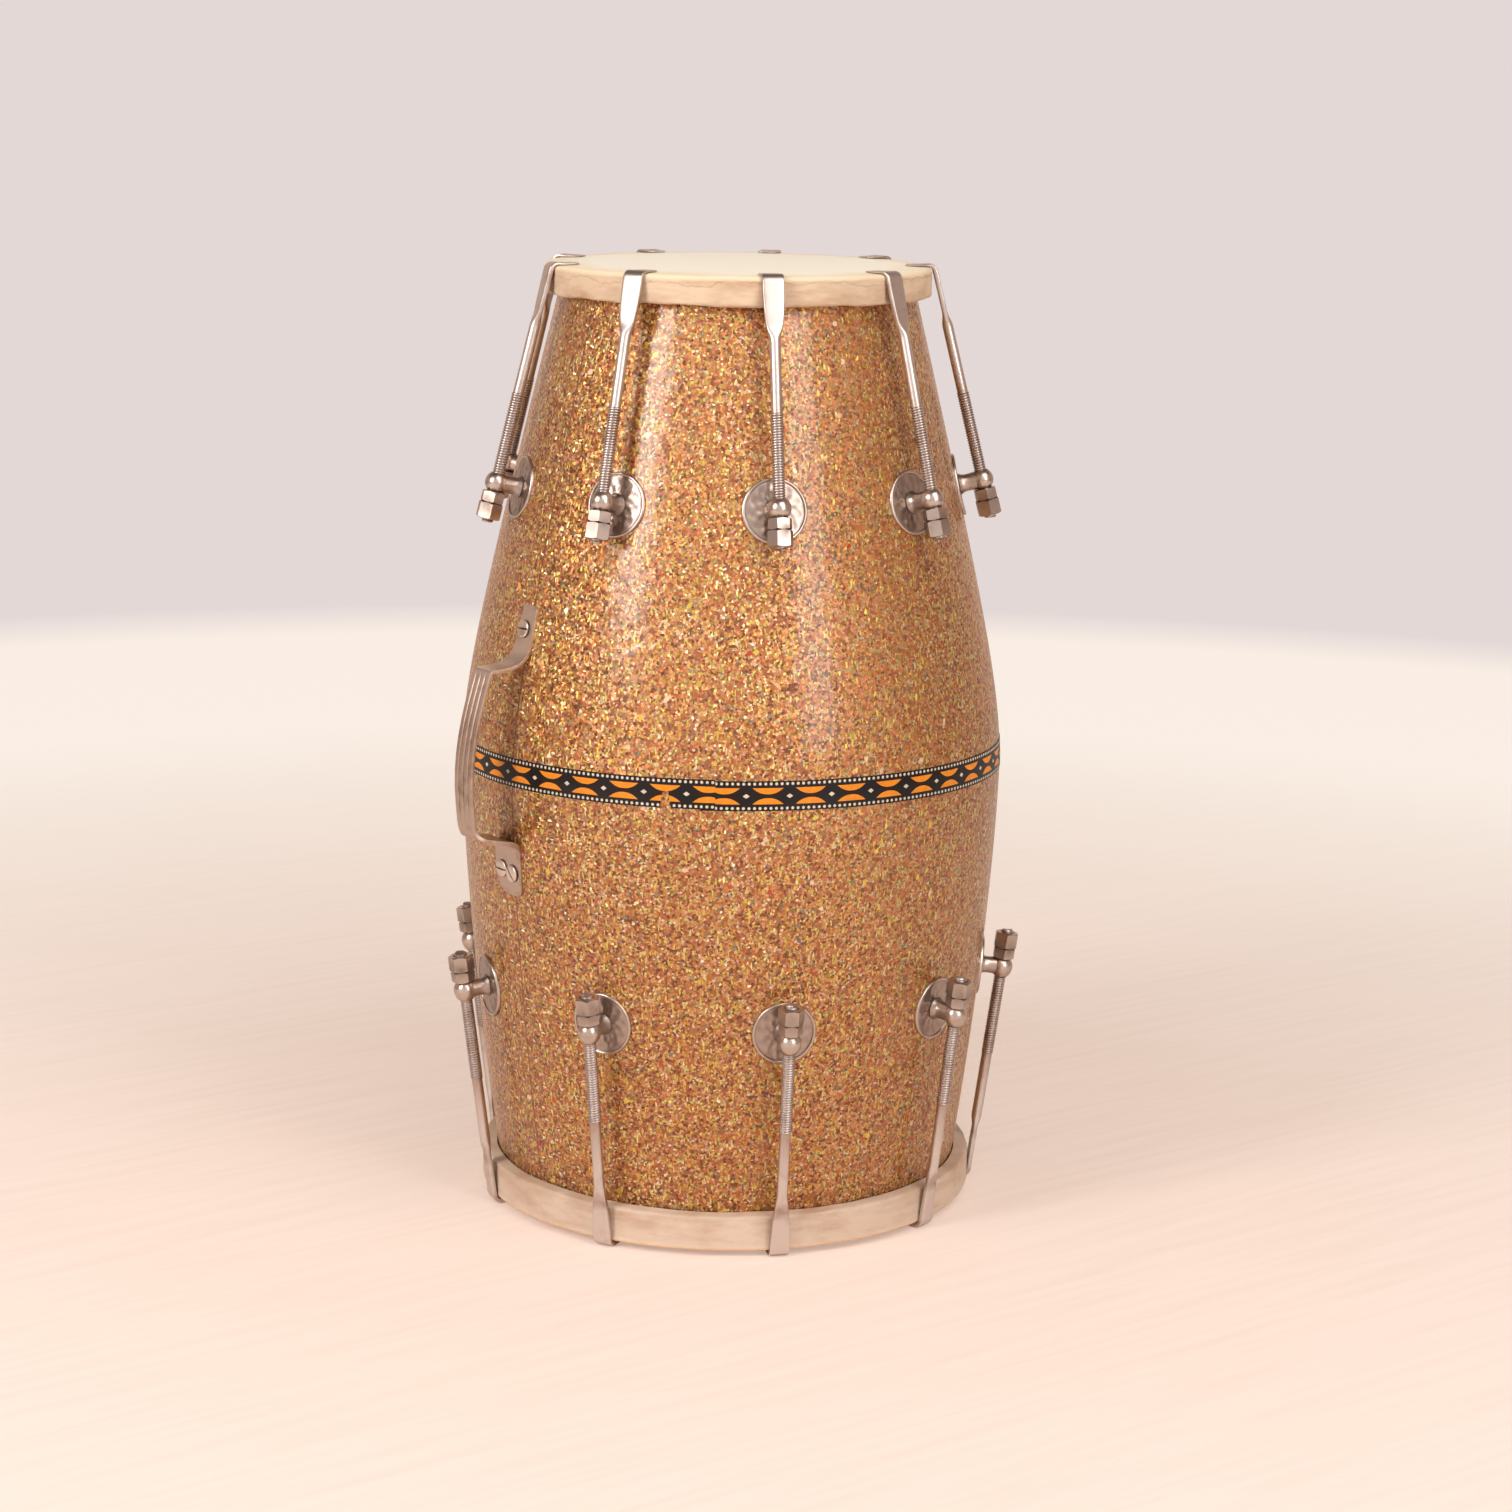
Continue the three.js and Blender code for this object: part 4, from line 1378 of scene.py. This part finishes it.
    def rosette(self, bm: BMesh) -> None:
        """Presses the rosette: a round bright rim, two rings of lobes and a sunk middle.

        Args:
            bm: The post's mesh, in the post's frame.
        """
        rim, sheet_top, neck = self.rosette_radius - self.rosette_rim, self.rosette_sheet, self.neck_radius
        crest, half = sheet_top + self.rosette_rise, self.rosette_rim / 2
        middle = Vector((self.rosette_radius - half, sheet_top))
        hump = [
            (x, sheet_top + (y - sheet_top) * self.rosette_rise / half)
            for x, y in arc(middle, half, 0, math.pi, 10)
        ]
        step, hole, proud = self.rosette_dish
        wide, rows = rim - step - hole, self.rosette_rows
        dish = [(rim - step - wide * i / rows, sheet_top + proud) for i in range(rows + 1)]
        outline = [
            *((neck, 0.1), (self.rosette_radius, 0.1), *hump, *dish),
            *((neck + self.neck_flare, sheet_top - 0.2), (neck, sheet_top - 0.2)),
        ]
        turned = lathe(bm, outline, self.rosette_sides, closed=True)
        barrel = self.end.line.radius(self.ball.z)

        def pressed(at: Vector) -> float:
            """Gives how proud a lobe stands.

            Args:
                at: The place, in the post's frame.

            Returns:
                Its height over the sheet.
            """
            radius, angle = at.xy.length, math.atan2(at.y, at.x)
            if at.z < sheet_top or radius > rim - 0.2:
                return 0.0
            return self.emboss * sum(
                max(0.0, 1 - abs(radius - rim + inset) / reach) * math.cos(self.lobes * angle + turn)
                for inset, reach, turn in self.lobe_rings
            )

        def sunk(at: Vector) -> float:
            """Gives how dark a place of the rosette is painted: grime and painted shade between the lobes
            and round the neck.
            """
            radius = at.xy.length
            low = 0.1 - pressed(at) * 0.6 if radius < rim and at.z < crest else 0.0
            return min(max(low, 0.0) + grime * ease(-radius, -6.4, -5.0), 1.0)

        # The rosette darkens between its lobes and round the neck: grime and painted shade.
        grime, tarnish = self.rosette_age_and_shade
        age_and_shade(bm, turned, GRIME_AND_SHADE, sunk)
        age_and_shade(bm, turned, TARNISH, lambda at: tarnish * (1 - ease(at.xy.length, rim - 0.4, rim + 0.5)))
        for vert in turned:
            lift = pressed(vert.co)
            vert.co.z += lift - vert.co.y**2 / (2 * barrel)

    def post(self) -> Mesh:
        """Makes the ball post with its rosette.

        Returns:
            Its mesh, in the post's frame.
        """
        stand, height = self.post_frame()
        bm = metal_blank()
        self.ball_end(bm)
        bmesh.ops.transform(bm, matrix=stand.inverted() @ self.bolt_frame, verts=bm.verts)
        self.neck(bm, height)
        self.rosette(bm)
        return mesh_from(bm, "ball_post", crease=42)

    def build(self, seats: Mapping[str, Vector]) -> None:
        """Makes the bolt, its nuts and its post once and sets a copy of each at every place.

        Args:
            seats: The ball's middle for each number.
        """
        name, first = self.end.name, math.atan2(self.ball.y, self.ball.x)
        stand, _ = self.post_frame()
        hook, nut, post = self.hook(), self.nuts(), self.post()
        for number, seat in seats.items():
            round_drum = Matrix.Rotation(math.atan2(seat.y, seat.x) - first, 4, "Z")
            bolt = round_drum @ self.bolt_frame
            loose = math.radians(self.nut_step * (2 * int(number) % 5 - 2))
            for part, solid, mesh, place, finish in (
                ("hook_bolt", "hook", hook, bolt, AGED_NICKEL),
                ("nut_pair", "nut", nut, bolt @ Matrix.Rotation(loose, 4, "Z"), BRIGHT_NICKEL),
                ("ball_post", "post", post, round_drum @ stand, BRIGHT_NICKEL),
            ):
                own, node = mesh.copy(), f"{name}_{solid}_{number}"
                body = "drum" if mesh is post else node
                fit_piece(f"{name}_{part}_{number}", own, place, (finish,), body, "nickel", node)


@dataclass
class StrapHandle:
    """The ribbed strap handle, bent out from two screwed feet.

    Each screw has its height, its side and its slot's degrees.
    """

    line: BarrelLine
    degrees: float = 182.2
    low_screw: float = 179.2
    high_screw: float = 298.3
    tip: float = 11.6
    low_leg: float = 193.5
    high_leg: float = 282
    grip_low: float = 198.5
    grip_high: float = 281
    low_standoff: float = 25.6
    high_standoff: float = 23.1
    crown: float = 3.2
    strap: float = 1.8
    low_foot: tuple[float, float] = (12.0, 9.5)
    high_foot_width: float = 13.6
    high_foot_slant: Outline = ((0, 3.4), (5, 4.6), (10, 5.6), (16, 6.0), (27, 6.8), (30, 7.0))
    grip_width: float = 14
    low_rounds: tuple[float, float] = (11, 3.5)
    high_round: float = 2
    taper: float = 9
    low_bend: float = 6.5
    high_bend: float = 15
    grip_bends: tuple[float, float] = (2.8, 10.0)
    groove_depth: float = 0.34
    groove_width: float = 1.5
    groove_pitch: float = 3.9
    groove_ends: tuple[float, float] = (26, 4)
    edge_round: float = 0.45
    columns: int = 56
    fit: float = 0.3
    head_radius: float = 4.4
    head_height: float = 0.8
    head_sides: int = 40
    slot_width: float = 0.9
    slot_depth: float = 0.6
    slot_grime_and_shade: float = 0.9
    screws: tuple[tuple[float, float, float], ...] = (
        (298.3, -0.8, 92),
        (179.7, -6.2, 88),
        (178.7, 2.6, 40),
    )

    def foot_radius(self, screw: float, height: float) -> float:
        """Gives the middle of a foot's strap at a height: it touches the barrel at its screw."""
        slope = self.line.slope(screw)
        lift = (self.fit + self.strap / 2) * math.hypot(1, slope)
        return self.line.radius(screw) + lift + (height - screw) * slope

    def grip_point(self, share: float) -> Vector:
        """Gives a point of the grip, from its top at 0 to its foot at 1."""
        height = self.grip_high + (self.grip_low - self.grip_high) * share
        proud = self.high_standoff + (self.low_standoff - self.high_standoff) * share
        proud += self.crown * math.sin(share * math.pi) - self.strap / 2
        return Vector((self.line.radius(height) + proud, height))

    def path(self) -> list[Vector]:
        """Works out the strap's middle line from its top tip to its low tip, its bends rounded.

        Returns:
            Its points as radius and height, about a millimetre apart.
        """
        high, low = self.high_screw, self.low_screw
        high_foot = [Vector((self.foot_radius(high, z), z)) for z in (high + self.tip, self.high_leg)]
        low_foot = [Vector((self.foot_radius(low, z), z)) for z in (self.low_leg, low - self.tip)]
        corners = [*high_foot, *(self.grip_point(i / 10) for i in range(11)), *low_foot]
        bends = (self.high_bend, self.grip_bends[0], *[0.0] * 9, self.grip_bends[1], self.low_bend)
        rough = [corners[0]]
        for before, here, after, bend in zip(corners, corners[1:], corners[2:], bends):
            if not bend:
                rough.append(here)
                continue
            back, on = (before - here).normalized(), (after - here).normalized()
            half = back.angle(on) / 2
            cut = bend / math.tan(half)
            start, end = here + back * cut, here + on * cut
            for share in (i / 8 for i in range(9)):
                rough.append(start.lerp(here, share).lerp(here.lerp(end, share), share))
        rough.append(corners[-1])
        fine = [rough[0]]
        for start, end in pairwise(rough):
            steps = max(1, round((end - start).length))
            fine.extend(start.lerp(end, i / steps) for i in range(1, steps + 1))
        return fine

    def edges(self, height: float) -> tuple[float, float]:
        """Works out where the strap's edges run, with the feet cut as they were by hand.

        Args:
            height: Above the bass face.

        Returns:
            The left edge and the right edge, seen from outside.
        """
        grip = self.grip_width / 2

        def rounded(from_tip: float, radius: float) -> float:
            """Gives how far a rounded corner draws an edge in."""
            short = radius - min(max(from_tip, 0.0), radius)
            return radius - math.sqrt(radius**2 - short**2)

        if height < (self.grip_low + self.grip_high) / 2:
            from_tip = height - self.low_screw + self.tip
            waist = ease(-height, -self.low_leg - self.taper, -self.low_leg)
            left, right = (
                grip + (foot - grip) * waist - rounded(from_tip, radius)
                for foot, radius in zip(self.low_foot, self.low_rounds)
            )
            return -left, right
        from_tip = self.high_screw + self.tip - height
        waist = ease(height, self.high_leg - self.taper, self.high_leg)
        right = grip + (self.high_foot_width / 2 - grip) * waist - rounded(from_tip, self.high_round)
        return -between(self.high_foot_slant, from_tip), right

    def groove(self, side: float, height: float) -> float:
        """Gives how far the grip is pressed in at a place, by its three grooves."""
        low, high = self.groove_ends
        span = ease(height, self.grip_low + high, self.grip_low + low)
        span *= 1 - ease(height, self.grip_high - high, self.grip_high)
        aways = (abs(side - number * self.groove_pitch) / self.groove_width for number in (-1, 0, 1))
        return self.groove_depth * span * sum(math.exp(-(away * 2) ** 2 * 1.4) for away in aways)

    def strap_mesh(self) -> Mesh:
        """Bends and presses the strap.

        Returns:
            Its mesh, on the drum.
        """
        path = self.path()
        last = len(path) - 1
        bm = metal_blank()

        def place(along: float, up: float) -> Vector:
            """Gives a point of the strap's middle layer.

            Args:
                along: Its share of the strap's length.
                up: Its share of the strap's width.

            Returns:
                Its place, with the strap on +X.
            """
            at = round(along * last)
            here = path[at]
            way = (path[min(at + 1, last)] - path[max(at - 1, 0)]).normalized()
            out = Vector((-way.y, way.x))
            left, right = self.edges(here.y)
            side = left + (right - left) * up
            touching = min(abs(here.x - self.line.radius(here.y)) / 8, 1)
            sink = self.groove(side, here.y) + (1 - touching) * side**2 / (2 * here.x)
            moved = here - out * sink if out.x > 0 else here + out * sink
            return Vector((moved.x, side, moved.y))

        sheet(bm, last, self.columns, place)
        bmesh.ops.recalc_face_normals(bm, faces=bm.faces)
        bmesh.ops.solidify(bm, geom=bm.faces[:], thickness=self.strap)
        bm.normal_update()
        rims = [e for e in bm.edges if e.calc_face_angle(0.0) > math.radians(50)]
        rounding = {"segments": 3, "profile": 0.5, "affect": "EDGES", "material": -1}
        bmesh.ops.bevel(bm, geom=rims, offset=self.edge_round, clamp_overlap=True, **rounding)
        # The grip darkens in its grooves: grime and painted shade.
        age_and_shade(bm, bm.verts, GRIME_AND_SHADE, lambda at: min(self.groove(at.y, at.z) * 1.5, 0.75))
        age_and_shade(bm, bm.verts, TARNISH, lambda at: 0.12 + 0.4 * ease(self.grip_high - at.z, 0, 30))
        return mesh_from(bm, "strap_handle", crease=50)

    def screw(self, bm: BMesh, height: float, side: float, slot_degrees: float) -> None:
        """Adds a domed screw with a sawn slot.

        Args:
            bm: The screws' mesh.
            height: The screw's height above the bass face.
            side: How far it stands to one side of the strap's middle.
            slot_degrees: The slot's turn.
        """
        foot = self.low_screw if height < self.line.belly_height else self.high_screw
        seat = self.foot_radius(foot, height)
        out = Vector((1, 0, -self.line.slope(foot))).normalized()
        sink = side**2 / (2 * seat)
        place = frame_of(Vector((seat - sink, side, height)), UP, out)
        place @= Matrix.Rotation(math.radians(slot_degrees), 4, "Z")
        base = self.strap / 2 - 0.2
        dome = [(0, base + self.head_height)]
        for i in range(1, 9):
            angle = math.pi / 2 * (1 - i / 8)
            up = base + self.head_height * math.sin(angle) ** 0.8
            dome.append((self.head_radius * math.cos(angle), up))
        own = metal_blank()
        lathe(own, [*dome, (self.head_radius, base - 0.4), (0, base - 0.4)], self.head_sides)
        for wall in (-self.slot_width / 2, self.slot_width / 2):
            geom = [*own.verts, *own.edges, *own.faces]
            bmesh.ops.bisect_plane(own, geom=geom, dist=WELD, plane_co=(0, wall, 0), plane_no=(0, 1, 0))
        floor = base + self.head_height - self.slot_depth
        sawn = []
        for face in own.faces:
            middle = face.calc_center_median()
            face.normal_update()
            if abs(middle.y) < self.slot_width / 2 and middle.z > floor and face.normal.z > 0.05:
                sawn.append(face)
        made = bmesh.ops.extrude_face_region(own, geom=sawn)["geom"]
        bmesh.ops.delete(own, geom=sawn, context="FACES_ONLY")
        for item in made:
            if isinstance(item, BMVert):
                item.co.z = floor
        # The slot's floor is painted dark: grime and painted shade.
        age_and_shade(own, own.verts, GRIME_AND_SHADE, lambda at: self.slot_grime_and_shade if at.z < floor + WELD else 0.0)
        bmesh.ops.transform(own, matrix=place, verts=own.verts)
        loose = bpy.data.meshes.new("screw")
        own.to_mesh(loose)
        own.free()
        bm.from_mesh(loose)
        bpy.data.meshes.remove(loose)

    def build(self) -> None:
        """Places the strap and its three screws, none of them quite straight."""
        strap = self.strap_mesh()
        place = Matrix.Rotation(math.radians(self.degrees), 4, "Z")
        fit_piece("strap_handle", strap, place, (HANDLED_NICKEL,), "drum", "nickel", "handle")
        bm = metal_blank()
        for height, side, slot_degrees in self.screws:
            self.screw(bm, height, side, slot_degrees)
        bmesh.ops.remove_doubles(bm, verts=bm.verts, dist=WELD / 5)
        screws = mesh_from(bm, "handle_screws")
        fit_piece("handle_screws", screws, place, (HANDLED_NICKEL,), "drum", "nickel")


class Lamp(Enum):
    """The soft boxes: degrees right of the camera and up, metres away, width, height and watts."""

    RIGHT = (37.0, 18.0, 1.7, 0.42, 0.9, 7.5)
    LEFT = (-48.0, 28.0, 1.7, 0.45, 0.9, 17.0)
    TOP = (34.0, 50.0, 1.7, 1.2, 0.9, 11.0)


SKY = ((0.5, "74706E"), (0.7, "98928E"), (1.0, "FFFAF4"))
MIRRORED = (
    *((0.3, "DCC4B6"), (0.47, "EAD8CE"), (0.53, "FFF6F0")),
    *((0.72, "FFF2EA"), (0.86, "A3968F"), (1.0, "8E827B")),
)
AROUND = (
    *((0.05, "F4E9E2"), (0.17, "D6C4B9"), (0.36, "D0BEB2")),
    *((0.55, "AE9A90"), (0.78, "F0E6E0"), (0.9, "FFFFFF")),
)


@dataclass
class Studio:
    """The pale floor, the soft boxes, the room's light and the camera, in metres."""

    turn_degrees: float = 36.18
    distance: float = 1.7
    camera_side: float = 0.01277
    camera_height: float = 0.578
    pitch_degrees: float = 11.861
    roll_degrees: float = 0.934
    focal_share: float = 3409.7 / 1512
    sensor: float = 36.0
    floor_height: float = -0.0024
    lamp_aim: float = 0.24
    wall: str = "E3D8D6"
    room: float = 0.68

    def camera(self) -> None:
        """Sets the camera where the photograph was taken from."""
        data = bpy.data.cameras.new("camera")
        data.sensor_width = self.sensor
        data.lens = self.focal_share * self.sensor
        data.clip_end = 50
        camera = link("camera", data)
        turn = Matrix.Rotation(-math.radians(self.turn_degrees), 4, "Z")
        tip = Matrix.Rotation(math.pi / 2 - math.radians(self.pitch_degrees), 4, "X")
        roll = Matrix.Rotation(math.radians(self.roll_degrees), 4, "Z")
        place = Matrix.Translation((self.camera_side, -self.distance, self.camera_height))
        camera.matrix_world = turn @ place @ tip @ roll
        bpy.context.scene.camera = camera
        LOG.info("camera: %.1f mm lens", data.lens)

    def lamps(self) -> None:
        """Hangs the soft boxes."""
        for lamp in Lamp:
            side, up, away, width, height, watts = lamp.value
            data = bpy.data.lights.new(f"soft_box_{lamp.name.lower()}", "AREA")
            data.shape = "RECTANGLE"
            data.size, data.size_y, data.energy = width, height, watts
            turn, rise = math.radians(side - self.turn_degrees), math.radians(up)
            level = math.cos(rise)
            out = Vector((math.sin(turn) * level, -math.cos(turn) * level, math.sin(rise)))
            box = link(data.name, data)
            box.location = out * away + UP * self.lamp_aim
            box.rotation_euler = out.to_track_quat("Z", "Y").to_euler()
            LOG.info("%s: %.0f W", data.name, watts)

    def room_light(self) -> None:
        """Lights the room by direction, bright behind the camera and at the far wall and dim at the
        sides, and shows the camera itself a plain pale wall.
        """
        world = bpy.data.worlds.new("room")
        bpy.context.scene.world = world
        world.use_nodes = True
        world.node_tree.nodes.clear()
        add = partial(add_node, world.node_tree)
        way = add("TexCoord").outputs["Generated"]
        rise = add("SeparateXYZ", (way,)).outputs[2]
        turn = math.radians(self.turn_degrees)
        front = (-math.sin(turn), -math.cos(turn), 0)
        near = add("VectorMath", (way, front), operation="DOT_PRODUCT")
        rise, near = (add("MapRange", (value, -1.0, 1.0)) for value in (rise, near))
        sky, mirrored, sides = (
            add("ValToRGB", (value,), stops)
            for value, stops in ((rise, SKY), (rise, MIRRORED), (near, AROUND))
        )
        tinted = {0: 1.0, 6: mirrored, 7: sides}
        seen = add("Mix", tinted, data_type="RGBA", blend_type="MULTIPLY")
        fill, gloss, wall = (
            add("Background", {"Color": colour, "Strength": strength})
            for colour, strength in ((sky, self.room), (seen, 1.0), (self.wall, 1.0))
        )
        path = add("LightPath").outputs
        mixed = add("MixShader", (path["Is Glossy Ray"], fill, gloss))
        mixed = add("MixShader", (path["Is Camera Ray"], mixed, wall))
        add("OutputWorld", {"Surface": mixed})

    def lay_floor(self) -> None:
        """Lays the floor, which fades into the wall behind the drum."""
        bm = bmesh.new()
        bmesh.ops.create_circle(bm, cap_ends=True, segments=96, radius=FLOOR_BOARD.fades[1] + 0.1)
        mesh = mesh_from(bm, "floor")
        mesh.transform(Matrix.Translation((0, 0, self.floor_height)))
        mesh.materials.append(FLOOR_BOARD.material())
        link("floor", mesh)

    def build(self) -> None:
        """Sets up the camera, the light and the floor."""
        bpy.context.scene.view_settings.view_transform = "Standard"
        self.camera()
        self.lamps()
        self.room_light()
        self.lay_floor()


BLADES = {
    "treble": (
        *((-4, 10.0), (2, 10.4), (8, 10.2), (14, 9.6)),
        *((20, 8.5), (23, 7.5), (26, 5.7), (28.5, 5.3)),
    ),
    "bass": ((-4, 10.4), (2, 9.6), (11, 8.6), (18, 7.7), (19.5, 7.0), (24.5, 6.2), (28.5, 5.3)),
}
BLADE_TARNISH = {
    "treble": (
        *((-9, 0.4), (0, 0.4), (3, 0.35), (14, 0.32)),
        *((20, 0.4), (28, 0.3), (50, 0.3), (61, 0.5)),
    ),
    "bass": (
        *((-9, 0.3), (3, 0.1), (15, 0.1), (19, 0.6)),
        *((22, 0.4), (26, 0.1), (44, 0.1), (58, 0.6)),
    ),
}
BEND_SHARES = {"treble": 0.48, "bass": 1.0}


def main() -> None:
    """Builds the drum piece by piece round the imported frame."""
    logging.basicConfig(level=logging.INFO, format="%(name)s: %(message)s")
    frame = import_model()
    line = BarrelLine()
    treble = DrumEnd("treble", line.height, 1, line.treble_mouth, 14.6, 7.39, line)
    bass = DrumEnd("bass", 0, -1, line.bass_mouth, 18.5, 7.87, line)
    Studio().build()
    Barrel(line, (treble, bass)).build()
    PrintedTape(line).build()
    pale = RawHide("goat_rawhide_treble", treble, "FAEDD9", "F1D8B4", "D9BC9E", "B0825E", crease=0.42)
    yellow = RawHide("goat_rawhide_bass", bass, "F0DDC6", "EBCBA4", "D6BFAA", "B58E70", crease=0.0)
    HideHead(treble, pale).build()
    HideHead(bass, yellow, ragged=0.8).build()
    for end in (treble, bass):
        joints = {
            joint["name"].split("_")[2]: joint
            for joint in frame["joints"]
            if joint["type"] == "hinge" and joint["name"].startswith(end.name)
        }
        seats = {number: Vector(joint["pos_m"]) / MM for number, joint in joints.items()}
        along = -Vector(joints["1"]["axis"])
        profiles = BLADES[end.name], BLADE_TARNISH[end.name], BEND_SHARES[end.name]
        TuningUnits(end, seats["1"], along, *profiles).build(seats)
    StrapHandle(line).build()
    for name in ("treble_hoop", "bass_hoop"):
        hoop = frame["nodes"][name].data
        hoop.materials.clear()
        hoop.materials.append(HOOP_IRON.material())
        LOG.info("%s: packed solid, dressed", name)


if __name__ == "__main__":
    main()
